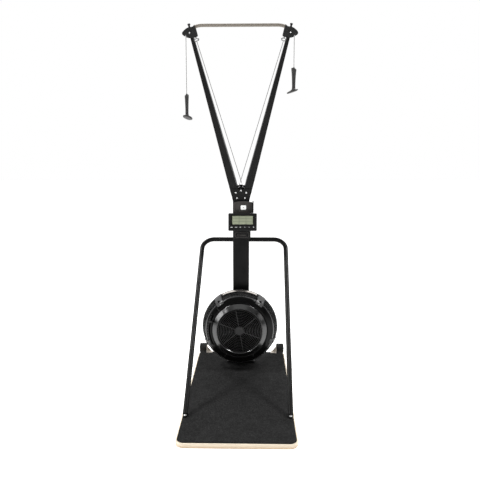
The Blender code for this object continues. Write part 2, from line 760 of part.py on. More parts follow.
def make_handle(side, sign, handle_top, yaw):
    """A ski grip: an oval shaft that flares to its top, over a tilted paddle that reaches out on one side."""
    axis = frame_at(side + "_handle_axis", (sign * CORD_X, HEAD_Y, handle_top), (0, 0, yaw))
    bottom = 0.016 - HANDLE_LENGTH
    profile = [
        (0, 0.0),
        (0.0045, -0.0008),
        (0.0130, -0.0045),
        (0.0143, -0.0100),
        (0.0126, -0.030),
        (0.0107, -0.060),
        (0.0098, -0.090),
        (0.0096, bottom),
        (0, bottom),
    ]
    shaft = to_mesh(turned(profile, 18))
    shaft.data.transform(Matrix.Diagonal((1, GRIP_OVAL, 1, 1)))
    paddle = drawing([rounded(*PADDLE_SIZE, PADDLE_SIZE[1] / 2 - 0.001, 5)], PADDLE_THICK)
    bpy.ops.mesh.primitive_cone_add(vertices=18, radius1=0.0165, radius2=0.0085, depth=0.016)
    skirt = bpy.context.object
    for piece, place in ((paddle, (PADDLE_SHIFT, 0, bottom - 0.0085)), (skirt, (-0.001, 0, bottom))):
        piece.location = place
        piece.rotation_euler = (0, PADDLE_TIP, 0)
    eye = rod(CORD_RADIUS + 0.0008, 0.020, (0, 0, 0), (0, 0, 0), 12)
    handle = cut(join(shaft, skirt, paddle), eye)
    keep(handle, side + "_handle", "grip", axis)


# ---------------------------------------------------------------- fan
def ring_profile(front, back):
    """A closed section: the front line outwards, then the back line inwards again."""
    return list(front) + list(reversed(back))


def shell(points, thick):
    """A sheet of even thickness turned from (radius, forward) points, innermost first."""
    offset = []
    for i, (r, d) in enumerate(points):
        before = points[max(i - 1, 0)]
        after = points[min(i + 1, len(points) - 1)]
        run = Vector((after[0] - before[0], after[1] - before[1])).normalized()
        if i == len(points) - 1:
            run = Vector((0, copysign(1, run.y)))
        offset.append((r + run.y * thick, d - run.x * thick))
    return ring_profile(points, offset)


def make_fan_shells():
    rear_front = [
        (0.030, 0.0075),
        (0.150, 0.0075),
        (0.195, 0.012),
        (0.225, 0.028),
        (FAN_RADIUS - 0.0040, 0.050),
        (FAN_RADIUS - SHEET, FAN_RIM),
    ]
    rear = turned(shell(rear_front, SHEET), 48, closed=True)
    keep(rear, "fan_rear_shell", "gloss", FAN_FRAME)
    start = (FAN_RADIUS - 0.0008, FAN_RIM + GAP)
    end = (COVER_RADIUS, COVER_RIM - GAP)
    screen = [start]
    for i in range(1, 4):
        t = i / 4
        swell = 0.0060 * sin(pi * t)
        screen.append((start[0] + (end[0] - start[0]) * t + swell, start[1] + (end[1] - start[1]) * t))
    screen.append(end)
    inner = [(r - 0.0020, d) for r, d in screen]
    # The section runs down the outer side, from the front edge to the rear one.
    keep(turned(list(reversed(screen)) + inner, 48, closed=True), "fan_screen", "mesh", FAN_FRAME)
    face = [
        (BEZEL_IN - 0.004, BEZEL_IN_AT - 0.004),
        (BEZEL_IN, BEZEL_IN_AT),
        (BEZEL_OUT - 0.002, BEZEL_OUT_AT + 0.001),
        (BEZEL_OUT + 0.003, BEZEL_OUT_AT - 0.002),
        (COVER_RADIUS - 0.012, COVER_RIM + 0.010),
        (COVER_RADIUS - 0.002, COVER_RIM + 0.004),
        (COVER_RADIUS, COVER_RIM),
    ]
    cover = to_mesh(turned(shell(face, SHEET), 48, closed=True))
    # The damper's lever comes out of this slot on the left of the face.
    sweep = (radians(150), radians(210))
    far = arc((0, 0), SLOT_RADIUS + SLOT_HALF, *sweep, 10)
    near = arc((0, 0), SLOT_RADIUS - SLOT_HALF, *reversed(sweep), 10)
    slot = drawing([far + near], 0.05)
    slot.matrix_world = FAN_FRAME.matrix_world @ Matrix.Translation((0, 0, COVER_RIM + 0.010))
    cover.matrix_world = FAN_FRAME.matrix_world
    cover = cut(cover, slot)
    keep(cover, "fan_front_cover", "gloss")


def make_grille():
    """Rings on six radial bars round a hub cap."""
    outer = BEZEL_IN - 0.006
    hub = 0.025
    rings = 5
    bar = 0.0022
    pitch = (outer - 0.004 - hub) / rings
    slots = []
    for i in range(rings):
        low = hub + i * pitch + 0.0018
        high = low + pitch - 0.0036
        for k in range(6):
            start = radians(100 + 60 * k) + bar / low
            end = radians(160 + 60 * k) - bar / low
            slots.append(arc((0, 0), high, start, end, 5) + arc((0, 0), low, end, start, 4))
    grille = drawing([circle(outer, 48), *slots], 0.0025)
    grille.location.z = BEZEL_IN_AT - 0.009
    keep(to_mesh(grille), "fan_grille", "plastic", FAN_FRAME)


def make_damper():
    """A shutter ring behind the front cover, with the lever that turns it."""
    back = COVER_RIM - 0.010
    windows = []
    for k in range(8):
        start = 2 * pi * (k + 0.25) / 8
        end = start + radians(20)
        windows.append(arc((0, 0), 0.120, start, end, 3) + arc((0, 0), 0.062, end, start, 3))
    ring = drawing([circle(0.206, 40), circle(0.040, 20), *windows], 0.0024)
    ring.matrix_world = FAN_FRAME.matrix_world @ Matrix.Translation((0, 0, back))
    lever_at = Matrix.Rotation(LEVER_TURN, 4, "Z") @ Matrix.Translation((SLOT_RADIUS, 0, back))
    stem = block((0.0065, 0.0060, 0.032), (0, 0, 0))
    stem.matrix_world = FAN_FRAME.matrix_world @ lever_at @ Matrix.Translation((0, 0, 0.0157))
    cap = block((0.020, 0.012, 0.010), (0, 0, 0), 0.0020, 1)
    cap.matrix_world = FAN_FRAME.matrix_world @ lever_at @ Matrix.Translation((0, 0, 0.0355))
    keep(join(to_mesh(ring), stem, cap), "damper", "plastic")


def make_flywheel():
    """A steel disc with radial vanes, on the axle that the cords drive."""
    vanes = 24
    outline = []
    half = 0.0011
    for k in range(vanes):
        a = 2 * pi * k / vanes
        for r, side in ((0.046, -1), (0.190, -1), (0.190, 1), (0.046, 1)):
            x, y = r, side * half
            outline.append((x * cos(a) - y * sin(a), x * sin(a) + y * cos(a)))
    star = drawing([outline], 0.050)
    star.location.z = 0.0741
    disc = rod(0.196, 0.007, (0, 0, 0.050), (0, 0, 0), 48)
    hub = rod(0.022, 0.070, (0, 0, 0.0720), (0, 0, 0), 32)
    bore = rod(AXLE_RADIUS + GAP, 0.3, (0, 0, 0.07), (0, 0, 0), 24)
    # The exact solver leaves slits where this many thin vanes meet the disc.
    wheel = cut(join(to_mesh(disc), star, hub, solver="MANIFOLD"), bore)
    keep(wheel, "flywheel", "alloy", FAN_FRAME)
    front, back = 0.116, -COLUMN_DEPTH - 0.010
    chamfer = 0.001
    axle = [
        (0, front),
        (AXLE_RADIUS - chamfer, front),
        (AXLE_RADIUS, front - chamfer),
        (AXLE_RADIUS, back + chamfer),
        (AXLE_RADIUS - chamfer, back),
        (0, back),
    ]
    keep(turned(axle, 24), "axle", "steel", FAN_FRAME)


def make_drive():
    """Bearings in the column's walls, and the two cord drums between them."""
    inner = AXLE_RADIUS + GAP
    for name, level in (("front_bearing", 0.0015), ("rear_bearing", 0.0015 - COLUMN_DEPTH)):
        half = 0.0045
        middle = level - 0.003 if name == "front_bearing" else level
        profile = [(inner, half), (0.0130, half), (0.0130, -half), (inner, -half)]
        keep(turned(profile, 24, closed=True), name, "steel", FAN_FRAME).location.z = middle
    for side, sign in SIDES:
        root = DRUM_RADIUS - CORD_RADIUS - GAP
        lip = 0.0105
        rim = 0.0245
        flange = 0.0012
        profile = [
            (inner, lip),
            (rim, lip),
            (rim, lip - flange),
            (root, lip - flange - 0.0002),
            (root, flange + 0.0002 - lip),
            (rim, flange - lip),
            (rim, -lip),
            (inner, -lip),
        ]
        drum = keep(turned(profile, 24, closed=True), side + "_drum", "plastic", FAN_FRAME)
        drum.location.z = -COLUMN_DEPTH / 2 - sign * LANE
        lane_y = COLUMN_Y + sign * LANE
        x = FAN_X - DRUM_RADIUS - 0.0012
        route = [(x, lane_y + sign * 0.004, z) for z in (FAN_Z + 0.004, 0.60, SHOCK_TOP)]
        keep(to_mesh(tube(route, SHOCK_RADIUS)), side + "_shock_cord", "elastic")


# ---------------------------------------------------------------- console
def make_console():
    pivot_y = CONSOLE_FRONT + PIVOT_BACK
    pivot_z = CONSOLE_Z - PIVOT_DOWN
    tilt = frame_at("console_axis", (CONSOLE_X, pivot_y, pivot_z), (pi / 2 - CONSOLE_TILT, 0, 0))
    width, height, depth = CONSOLE_SIZE
    face = PIVOT_BACK
    up = PIVOT_DOWN
    body = to_mesh(block(CONSOLE_SIZE, (0, up, face - depth / 2), 0.006, 3))
    barrel = rod(0.0075, 0.044, (0, 0, 0), (0, pi / 2, 0), 20)
    web = block((0.044, 0.013, face - depth + 0.004), (0, 0.001, (face - depth + 0.004) / 2))
    bore = rod(TILT_PIN + GAP, 0.1, (0, 0, 0), (0, pi / 2, 0), 16)
    well = block((SCREEN_SIZE[0], SCREEN_SIZE[1], 0.006), (0, up + SCREEN_UP, face))
    pockets = []
    for i in range(6):
        x = (i - 2.5) * BUTTON_PITCH
        deep = BUTTON_SIZE[2] - BUTTON_PROUD + BUTTON_TRAVEL + GAP
        size = (BUTTON_SIZE[0] + BUTTON_PLAY, BUTTON_SIZE[1] + BUTTON_PLAY, 2 * deep)
        pockets.append(block(size, (x, up - BUTTON_DOWN, face)))
    body = cut(join(body, web, barrel), bore, well, *pockets)
    keep(body, "console_body", "plastic", tilt)
    lens_size = (SCREEN_SIZE[0] - 2 * GAP, SCREEN_SIZE[1] - 2 * GAP, 0.0022)
    lens = block(lens_size, (0, up + SCREEN_UP, face - 0.0030 + GAP + 0.0011))
    keep(lens, "console_screen", "screen", tilt)
    for i in range(6):
        x = (i - 2.5) * BUTTON_PITCH
        level = face + BUTTON_PROUD - BUTTON_SIZE[2] / 2
        button = block(BUTTON_SIZE, (x, up - BUTTON_DOWN, level), 0.001, 1)
        keep(button, f"button_{i + 1}", "rubber", tilt)
    # The bracket is a saddle on the column's face with two ears that hold the tilt pin.
    saddle_z = 0.888
    saddle_depth = 0.012
    saddle_at = (0.006, COLUMN_FRONT - GAP - saddle_depth / 2, saddle_z)
    saddle = block((0.112, saddle_depth, 0.052), saddle_at, 0.003)
    bracket = to_mesh(saddle)
    reach = COLUMN_FRONT - saddle_depth - pivot_y
    for sign in (-1, 1):
        side_view = [
            (pivot_y - 0.010, pivot_z - 0.006),
            (pivot_y - 0.006, pivot_z + 0.010),
            (pivot_y + 0.008, pivot_z + 0.009),
            (COLUMN_FRONT - 0.004, saddle_z + 0.022),
            (COLUMN_FRONT - 0.004, saddle_z - 0.020),
            (pivot_y + reach / 2, saddle_z - 0.012),
        ]
        ear = drawing([side_view], 0.004)
        ear_x = CONSOLE_X + sign * (0.022 + GAP + 0.0025)
        ear.matrix_world = Matrix(((0, 0, 1, ear_x), (1, 0, 0, 0), (0, 1, 0, 0), (0, 0, 0, 1)))
        bracket = join(bracket, ear)
    hole = rod(TILT_PIN + GAP, 0.1, (CONSOLE_X, pivot_y, pivot_z), (0, pi / 2, 0), 16)
    keep(cut(bracket, hole), "console_bracket", "plastic")
    half = 0.031
    head = 0.0070
    pin = [
        (0, half),
        (head, half),
        (head, half - 0.004 + GAP),
        (TILT_PIN, half - 0.004 + GAP),
        (TILT_PIN, -half),
        (0, -half),
    ]
    pin = turned(pin, 16)
    pin.rotation_euler = (0, pi / 2, 0)
    keep(pin, "tilt_pin", "steel", tilt)
    # The holder stands on the console's back edge and leans with it.
    holder_w, holder_h, holder_t = HOLDER_SIZE
    x = 0.0045
    base = up + height / 2 + GAP
    level = face - depth + 0.006
    plate = to_mesh(block((holder_w, holder_h, holder_t), (x, base + holder_h / 2, level), 0.002))
    strap = block((0.050, 0.070, 0.004), (x, base - 0.022, face - depth - GAP - 0.002))
    foot = block((0.050, 0.004, 0.014), (x, base + 0.009, level - 0.005))
    lip_at = (x + holder_w / 2 - 0.004, base + holder_h / 2 + 0.003, level + 0.007)
    lip = block((0.008, holder_h - 0.004, 0.018), lip_at, 0.002)
    ledge = block((holder_w - 0.02, 0.006, 0.018), (x, base + 0.003, level + 0.007), 0.0015)
    keep(join(plate, strap, foot, lip, ledge), "phone_holder", "holder", tilt)


def build():
    make_deck()
    make_column()
    make_brace()
    make_v_plate("front_v_plate", 1)
    make_v_plate("rear_v_plate", -1)
    make_cross_tube()
    make_centre_pulleys()
    for side, sign in SIDES:
        make_wheel(side, sign)
        make_arm(side, sign)
        make_head(side, sign)
        make_inner_cord(side, sign)
    make_drop("left", -1, LEFT_HANDLE_TOP)
    make_drop("right", 1, RIGHT_HANDLE_TOP)
    make_handle("left", -1, LEFT_HANDLE_TOP, LEFT_HANDLE_TURN)
    make_handle("right", 1, RIGHT_HANDLE_TOP, 0.0)
    make_fan_shells()
    make_grille()
    make_damper()
    make_flywheel()
    make_drive()
    make_console()


build()
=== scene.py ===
"""The looks of the upright ski trainer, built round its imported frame. Metres, +Z up, -Y towards the user."""

import json
from math import asin, atan2, cos, hypot, pi, radians, sin, tan

import bmesh
import bpy
from mathutils import Matrix, Vector


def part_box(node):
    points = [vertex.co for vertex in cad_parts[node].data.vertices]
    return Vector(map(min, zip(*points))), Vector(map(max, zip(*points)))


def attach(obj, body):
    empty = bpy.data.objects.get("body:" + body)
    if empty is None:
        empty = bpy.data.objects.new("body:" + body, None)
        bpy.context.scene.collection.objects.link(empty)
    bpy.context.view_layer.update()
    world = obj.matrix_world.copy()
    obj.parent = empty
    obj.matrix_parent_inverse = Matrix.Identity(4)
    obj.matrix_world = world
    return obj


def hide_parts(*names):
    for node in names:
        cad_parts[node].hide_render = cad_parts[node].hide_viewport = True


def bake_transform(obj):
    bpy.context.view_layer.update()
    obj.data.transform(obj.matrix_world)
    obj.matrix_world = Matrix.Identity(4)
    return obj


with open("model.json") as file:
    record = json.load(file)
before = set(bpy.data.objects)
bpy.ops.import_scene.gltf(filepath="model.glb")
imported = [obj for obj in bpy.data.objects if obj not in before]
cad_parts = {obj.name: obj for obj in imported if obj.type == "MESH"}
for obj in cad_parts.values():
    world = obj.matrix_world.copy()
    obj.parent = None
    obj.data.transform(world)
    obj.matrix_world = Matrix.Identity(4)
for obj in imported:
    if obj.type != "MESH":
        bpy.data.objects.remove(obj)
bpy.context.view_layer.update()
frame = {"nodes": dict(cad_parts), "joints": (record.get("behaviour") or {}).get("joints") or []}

NODES = frame["nodes"]
JOINTS = {joint["name"]: joint for joint in frame["joints"]}
SIDES = (("left", -1), ("right", 1))


def middle(node):
    low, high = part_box(node)
    return (low + high) / 2


def size_of(node):
    low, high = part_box(node)
    return high - low


# ---- places read from the frame
MAT_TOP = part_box("deck_mat")[1].z
COLUMN_LOW, COLUMN_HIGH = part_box("column")
COLUMN_Y = (COLUMN_LOW.y + COLUMN_HIGH.y) / 2
COLUMN_TOP = COLUMN_HIGH.z + 0.0003
FAN_X = middle("axle").x
FAN_Z = middle("axle").z
HEADS = {side: Vector(JOINTS[side + "_pulley_spin"]["pos_m"]) for side, _ in SIDES}
LEAN = atan2(COLUMN_Y - HEADS["left"].y, HEADS["left"].z - COLUMN_TOP)
HEAD_UP = hypot(COLUMN_Y - HEADS["left"].y, HEADS["left"].z - COLUMN_TOP)
PIVOTS = {side: Vector(JOINTS[side + "_swing"]["pos_m"]) for side, _ in SIDES}
TILT_PIN = Vector(JOINTS["console_tilt"]["pos_m"])
PRESS = Vector(JOINTS["button_1_press"]["axis"])

# ---- sizes that the frame doesn't hold
CORD_RADIUS = 0.00175
PULLEY_RADIUS = 0.0225
CENTRE_RADIUS = 0.016
CENTRE_UP = 0.046
LANE = 0.013
DRUM_RADIUS = 0.022
BEZEL_OUT = 0.1735
BEZEL_OUT_AT = 0.16
BEZEL_IN = 0.145
BEZEL_IN_AT = 0.181
COVER_RIM = 0.14
SLOT_RADIUS = 0.193
REAR_RADIUS = size_of("fan_rear_shell").x / 2
FRONT_RADIUS = size_of("fan_front_cover").x / 2
SHEET = 0.003
BRACE_TUBE = 0.0145
BRACE_BEND = 0.078
BRACE_FOOT_X = 0.279
BRACE_TOP_X = 0.274
BRACE_SHIFT = 0.02
V_PLATE = 0.0043
CONSOLE_TALL = 0.113
CONSOLE_DEEP = 0.034
CONSOLE_FACE = 0.048
CONSOLE_UP = 0.034

FAN_PLACE = Matrix(((1, 0, 0, FAN_X), (0, 0, -1, COLUMN_LOW.y), (0, 1, 0, FAN_Z), (0, 0, 0, 1)))
ARM_PLACE = Matrix.Translation((0, COLUMN_Y, COLUMN_TOP)) @ Matrix.Rotation(pi / 2 + LEAN, 4, "X")
FACE_OUT = -PRESS
FACE_UP = Vector((0, FACE_OUT.z, -FACE_OUT.y))


# ---- materials
def fill(tree, node, **inputs):
    """Sets a node's inputs. A socket is linked, anything else is a value, and _ stands for a space."""
    for key, value in inputs.items():
        socket = node.inputs[key.replace("_", " ")]
        if isinstance(value, bpy.types.NodeSocket):
            tree.links.new(value, socket)
        else:
            socket.default_value = value
    return node


def new_node(tree, kind, **inputs):
    return fill(tree, tree.nodes.new("ShaderNode" + kind), **inputs)


def ranged(tree, value, start, end, low, high):
    """The value's stretch from start to end, spread from low to high."""
    node = new_node(tree, "MapRange", Value=value, From_Min=start, From_Max=end, To_Min=low, To_Max=high)
    return node.outputs["Result"]


def combined(tree, operation, first, second):
    node = new_node(tree, "Math")
    node.operation = operation
    tree.links.new(first, node.inputs[0])
    tree.links.new(second, node.inputs[1])
    return node.outputs["Value"]


class Paint:
    """A Principled material, with its textures added one call at a time."""

    def __init__(self, name, colour, roughness, metallic=0.0, specular=0.5, **sockets):
        self.material = bpy.data.materials.new(name)
        self.material.use_nodes = True
        self.tree = self.material.node_tree
        self.set(Base_Color=(*colour, 1), Roughness=roughness, Metallic=metallic, **sockets)
        self.set(Specular_IOR_Level=specular)
        self.coords = self.node("TexCoord").outputs["Object"]
        self.height = None

    def set(self, **sockets):
        fill(self.tree, self.tree.nodes["Principled BSDF"], **sockets)

    def node(self, kind, **inputs):
        return new_node(self.tree, kind, **inputs)

    def stretched(self, scale, turn=(0, 0, 0)):
        return self.node("Mapping", Scale=scale, Rotation=turn, Vector=self.coords).outputs["Vector"]

    def noise(self, scale, detail, stretch=None):
        vector = self.stretched(stretch) if stretch else self.coords
        return self.node("TexNoise", Scale=scale, Detail=detail, Vector=vector).outputs["Fac"]

    def cells(self, scale):
        return self.node("TexVoronoi", Scale=scale, Vector=self.coords).outputs["Distance"]

    def bands(self, scale, turn=None):
        """Level bands, turned by so many degrees about Y."""
        vector = self.stretched((1, 1, 1), (0, radians(turn), 0)) if turn else self.coords
        wave = self.node("TexWave", Scale=scale, Vector=vector)
        wave.bands_direction = "Z"
        return wave.outputs["Fac"]

    def colour_by(self, value, *stops):
        ramp = self.node("ValToRGB", Fac=value)
        elements = ramp.color_ramp.elements
        while len(elements) < len(stops):
            elements.new(0.5)
        for element, (place, colour) in zip(elements, stops):
            element.position = place
            element.color = (*colour, 1)
        self.set(Base_Color=ramp.outputs["Color"])

    def rough_by(self, value, low, high):
        self.set(Roughness=ranged(self.tree, value, 0.3, 0.7, low, high))

    def bump(self, value, depth, strength=1.0):
        """Adds a relief and gives the material. depth is in metres, and a second relief lies on the first."""
        below = {"Normal": self.height} if self.height else {}
        relief = self.node("Bump", Strength=strength, Distance=depth, Height=value, **below)
        self.height = relief.outputs["Normal"]
        self.set(Normal=self.height)
        return self.material


def grey(value, warm=0.0):
    return (value * (1 + warm), value, value * (1 - warm))


def coat(name, colour, roughness, tint, wear, relief, metallic=0.0, strength=1.0, **sockets):
    """
    A material whose colour, roughness and relief each follow a texture of their own.
    tint is a noise's scale and detail, then its colour stops. wear is a noise's scale and detail, its two
    roughnesses and any stretch. relief is a depth, then a noise's scale and detail, or the scale of cells.
    """
    paint = Paint(name, colour, roughness, metallic, **sockets)
    scale, detail, *stops = tint
    paint.colour_by(paint.noise(scale, detail), *stops)
    scale, detail, low, high, *stretch = wear
    paint.rough_by(paint.noise(scale, detail, *stretch), low, high)
    depth, *texture = relief
    pattern = paint.noise(*texture) if len(texture) > 1 else paint.cells(*texture)
    return paint.bump(pattern, depth, strength)


def brushed(name, colour, roughness, metallic, brush, stops, wear, depth, **sockets):
    """Metal with fine lines along X, which its colour, roughness and relief all follow."""
    paint = Paint(name, colour, roughness, metallic, **sockets)
    lines = paint.noise(*brush)
    paint.colour_by(lines, *stops)
    paint.rough_by(lines, *wear)
    return paint.bump(lines, depth)


def floor_mat():
    """Charcoal rubber with a fine non-slip grain and the dust of use."""
    paint = Paint("charcoal_grain_mat", grey(0.022), 0.86, specular=0.12)
    grain = paint.noise(190.0, 5.0)
    paint.colour_by(grain, (0.36, grey(0.0036)), (0.5, grey(0.0086)), (0.66, grey(0.022)))
    paint.rough_by(paint.noise(14.0, 5.0), 0.72, 0.94)
    paint.bump(paint.cells(420.0), 0.0006, 0.8)
    return paint.bump(grain, 0.001, 0.7)


def birch_ply():
    """Sealed birch plywood: long grain on the face, and on the edge veneer bands over a colour that runs from
    brown at the bottom to pale at the top.
    """
    paint = Paint("birch_plywood", (0.62, 0.5, 0.36), 0.46)
    height = paint.node("SeparateXYZ", Vector=paint.coords).outputs["Z"]
    fibre = paint.noise(60.0, 6.0, (1.0, 0.12, 9.0))
    veneers = paint.bands(70.0)
    level = ranged(paint.tree, height, 0.0, 0.024, 0.0, 0.9)
    mixed = combined(paint.tree, "ADD", level, combined(paint.tree, "MULTIPLY", veneers, fibre))
    brown, sand = (0.38, 0.23, 0.12), (0.55, 0.4, 0.26)
    birch, pale = (0.62, 0.49, 0.35), (0.76, 0.66, 0.52)
    paint.colour_by(mixed, (0.08, brown), (0.24, sand), (0.62, birch), (0.98, pale))
    paint.rough_by(fibre, 0.38, 0.58)
    paint.bump(fibre, 0.0004, 0.5)
    return paint.bump(veneers, 0.0002, 0.5)


def braid(name, low, high):
    """A braided sleeve: two crossing sets of fine strands."""
    paint = Paint(name, grey((low + high) / 2), 0.85, specular=0.15)
    strands = combined(paint.tree, "MAXIMUM", paint.bands(900.0, 52), paint.bands(900.0, -52))
    paint.colour_by(strands, (0.35, grey(low, 0.02)), (0.85, grey(high, 0.02)))
    paint.rough_by(paint.noise(200.0, 2.0), 0.8, 0.9)
    return paint.bump(strands, 0.00002)


def pale_print(name, colour):
    """Marks and pads: matt, slightly uneven, off-white or grey."""
    darker = tuple(0.86 * part for part in colour)
    return coat(name, colour, 0.55, tint=(160.0, 3.0, (0.3, darker), (0.65, colour)),
                wear=(240.0, 2.0, 0.46, 0.66), relief=(0.00004, 1200.0, 2.0))


BLACK = coat("satin_black_powder", grey(0.004), 0.42, specular=0.14,
             tint=(7.0, 5.0, (0.35, grey(0.002)), (0.68, grey(0.0042, 0.03))),
             wear=(26.0, 4.0, 0.33, 0.5, (1, 1, 0.25)), relief=(0.00012, 950.0, 2.0))
PLASTIC = coat("moulded_black_plastic", grey(0.006), 0.45, specular=0.2,
               tint=(14.0, 3.0, (0.3, grey(0.0045)), (0.7, grey(0.008))),
               wear=(60.0, 4.0, 0.38, 0.54), relief=(0.0001, 1500.0))
GLOSS = coat("gloss_black_plastic", grey(0.002), 0.16, specular=0.14,
             tint=(5.0, 2.0, (0.3, grey(0.0016)), (0.7, grey(0.0028))),
             wear=(16.0, 5.0, 0.12, 0.24), relief=(0.00008, 70.0, 2.0), strength=0.5)
# The raised ring round the grille is a hard black lacquer that mirrors the lamps.
BEZEL = coat("mirror_black_lacquer", grey(0.003), 0.16, specular=0.8,
             tint=(9.0, 3.0, (0.3, grey(0.002, -0.02)), (0.7, grey(0.004, -0.02))),
             wear=(40.0, 4.0, 0.18, 0.25), relief=(0.00001, 220.0, 1.0), strength=0.5)
CLIP = coat("satin_grey_clips", grey(0.08), 0.36, metallic=0.4,
            tint=(20.0, 3.0, (0.3, grey(0.05)), (0.7, grey(0.1))),
            wear=(60.0, 4.0, 0.3, 0.44), relief=(0.00005, 900.0, 1.0))
MAT = floor_mat()
PLY = birch_ply()
RUBBER = coat("black_wheel_rubber", grey(0.012), 0.72, specular=0.25,
              tint=(30.0, 4.0, (0.3, grey(0.008)), (0.75, grey(0.018, 0.04))),
              wear=(90.0, 3.0, 0.62, 0.86), relief=(0.00025, 800.0, 3.0))
GRIP = coat("soft_grip_rubber", grey(0.022, 0.02), 0.55, specular=0.3,
            tint=(45.0, 4.0, (0.3, grey(0.016, 0.02)), (0.72, grey(0.03, 0.03))),
            wear=(110.0, 3.0, 0.44, 0.64), relief=(0.00018, 1100.0))
SOLE = coat("grey_sole_rubber", grey(0.07, 0.02), 0.62, specular=0.3,
            tint=(60.0, 4.0, (0.3, grey(0.048, 0.02)), (0.72, grey(0.078, 0.02))),
            wear=(110.0, 3.0, 0.52, 0.72), relief=(0.0002, 1000.0))
STEEL = coat("bright_steel", grey(0.76), 0.3, metallic=0.5,
             tint=(120.0, 3.0, (0.3, grey(0.68)), (0.7, grey(0.84))),
             wear=(300.0, 3.0, 0.22, 0.38), relief=(0.00003, 2600.0, 2.0))
# The flywheel and the damper are near-black steel with almost no shine.
DARK_STEEL = coat("near_black_steel", grey(0.0014), 0.6, specular=0.02,
                  tint=(35.0, 5.0, (0.3, grey(0.001)), (0.7, grey(0.0022))),
                  wear=(80.0, 4.0, 0.52, 0.7), relief=(0.00005, 1300.0, 2.0))
WIRE = coat("grey_guard_wire", grey(0.022), 0.3, specular=0.6,
            tint=(30.0, 3.0, (0.3, grey(0.019)), (0.7, grey(0.03))),
            wear=(90.0, 3.0, 0.26, 0.44), relief=(0.00005, 1100.0, 1.0))
HUB = coat("grey_hub_cap", grey(0.03), 0.42, specular=0.3,
           tint=(40.0, 3.0, (0.3, grey(0.026)), (0.7, grey(0.036))),
           wear=(120.0, 3.0, 0.34, 0.52), relief=(0.00008, 1400.0))
# The warm silver band at the fan's top is a painted highlight: a metal strip where the gloss black rim only
# catches the light.
PAINTED_HIGHLIGHT = brushed("warm_silver_painted_highlight", (0.78, 0.73, 0.67), 0.26, 1.0, (300.0, 3.0, (0.1, 1, 1)),
               ((0.3, (0.7, 0.65, 0.6)), (0.7, (0.84, 0.8, 0.75))), (0.2, 0.34), 0.00003)
ZINC = coat("zinc_plate", (0.55, 0.5, 0.45), 0.42, metallic=0.75,
            tint=(38.0, 4.0, (0.25, (0.58, 0.54, 0.49)), (0.5, (0.62, 0.57, 0.51)), (0.8, (0.5, 0.46, 0.43))),
            wear=(90.0, 4.0, 0.34, 0.54), relief=(0.00008, 650.0))
# The cross tube is warm grey anodised aluminium, brushed along its length.
TAUPE = brushed("brushed_taupe", (0.19, 0.17, 0.145), 0.42, 0.15, (900.0, 2.0, (0.004, 1, 1)),
                ((0.3, (0.18, 0.16, 0.135)), (0.72, (0.2, 0.178, 0.153))), (0.4, 0.46), 0.000003,
                specular=0.3)
SCREEN = coat("black_screen_steel", grey(0.045), 0.32, metallic=0.6,
              tint=(40.0, 3.0, (0.3, grey(0.036)), (0.7, grey(0.06))),
              wear=(90.0, 3.0, 0.22, 0.4), relief=(0.00005, 1400.0, 1.0))
CORD = braid("pale_braid", 0.13, 0.2)
ELASTIC = braid("dark_braid", 0.018, 0.06)
# A liquid crystal panel: flat grey-green under a hard clear lens.
LCD = coat("lcd_panel", (0.25, 0.275, 0.193), 0.24, Coat_Weight=0.1, Coat_Roughness=0.08,
           tint=(18.0, 2.0, (0.3, (0.24, 0.264, 0.185)), (0.7, (0.262, 0.286, 0.202))),
           wear=(60.0, 2.0, 0.15, 0.27), relief=(0.00002, 900.0, 1.0), strength=0.4)
LCD_LINE = pale_print("lcd_segment", (0.12, 0.132, 0.092))
HOLDER = coat("warm_grey_plastic", (0.036, 0.0325, 0.031), 0.5, specular=0.22,
              tint=(22.0, 4.0, (0.3, (0.031, 0.028, 0.0265)), (0.7, (0.044, 0.04, 0.0375))),
              wear=(70.0, 3.0, 0.42, 0.6), relief=(0.00012, 1300.0))
PRINT = pale_print("white_print", (0.74, 0.75, 0.76))
DIM_PRINT = pale_print("grey_print", (0.19, 0.19, 0.2))
PAD = pale_print("white_pad", (0.8, 0.8, 0.79))
STUD = pale_print("brown_stud", (0.16, 0.09, 0.075))


# ---- mesh tools
def new_object(name, mesh):
    obj = bpy.data.objects.new(name, mesh)
    bpy.context.scene.collection.objects.link(obj)
    return obj


def mesh_object(name, shape):
    mesh = bpy.data.meshes.new(name)
    shape.to_mesh(mesh)
    shape.free()
    return new_object(name, mesh)


def solid(obj, place=None):
    """The object as one plain mesh, with its modifiers applied and its place in its vertices."""
    bpy.context.view_layer.update()
    graph = bpy.context.evaluated_depsgraph_get()
    mesh = bpy.data.meshes.new_from_object(obj.evaluated_get(graph))
    mesh.transform((place or Matrix.Identity(4)) @ obj.matrix_world)
    name = obj.name
    bpy.data.objects.remove(obj, do_unlink=True)
    return new_object(name, mesh)


def piece(name, objs, material, body, replaces=(), sharp=32):
    """One shown piece made of these shapes, with its material, its body and the nodes that it stands for."""
    objs = objs if isinstance(objs, list) else [objs]
    shape = bmesh.new()
    for obj in objs:
        shape.from_mesh(obj.data)
        bpy.data.objects.remove(obj, do_unlink=True)
    bmesh.ops.remove_doubles(shape, verts=shape.verts, dist=0.000002)
    bmesh.ops.recalc_face_normals(shape, faces=shape.faces)
    result = mesh_object(name, shape)
    result.data.materials.append(material)
    result.data.shade_smooth()
    result.data.set_sharp_from_angle(angle=radians(sharp))
    if body:
        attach(result, body)
    for node in replaces:
        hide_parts(node)
    return result


def bevelled(obj, width, segments, angle=30):
    edges = obj.modifiers.new("edges", "BEVEL")
    edges.width = width
    edges.segments = segments
    edges.limit_method = "ANGLE"
    edges.angle_limit = radians(angle)
    return obj


def turns(count):
    """The angles of equal steps round a circle."""
    return [2 * pi * k / count for k in range(count)]


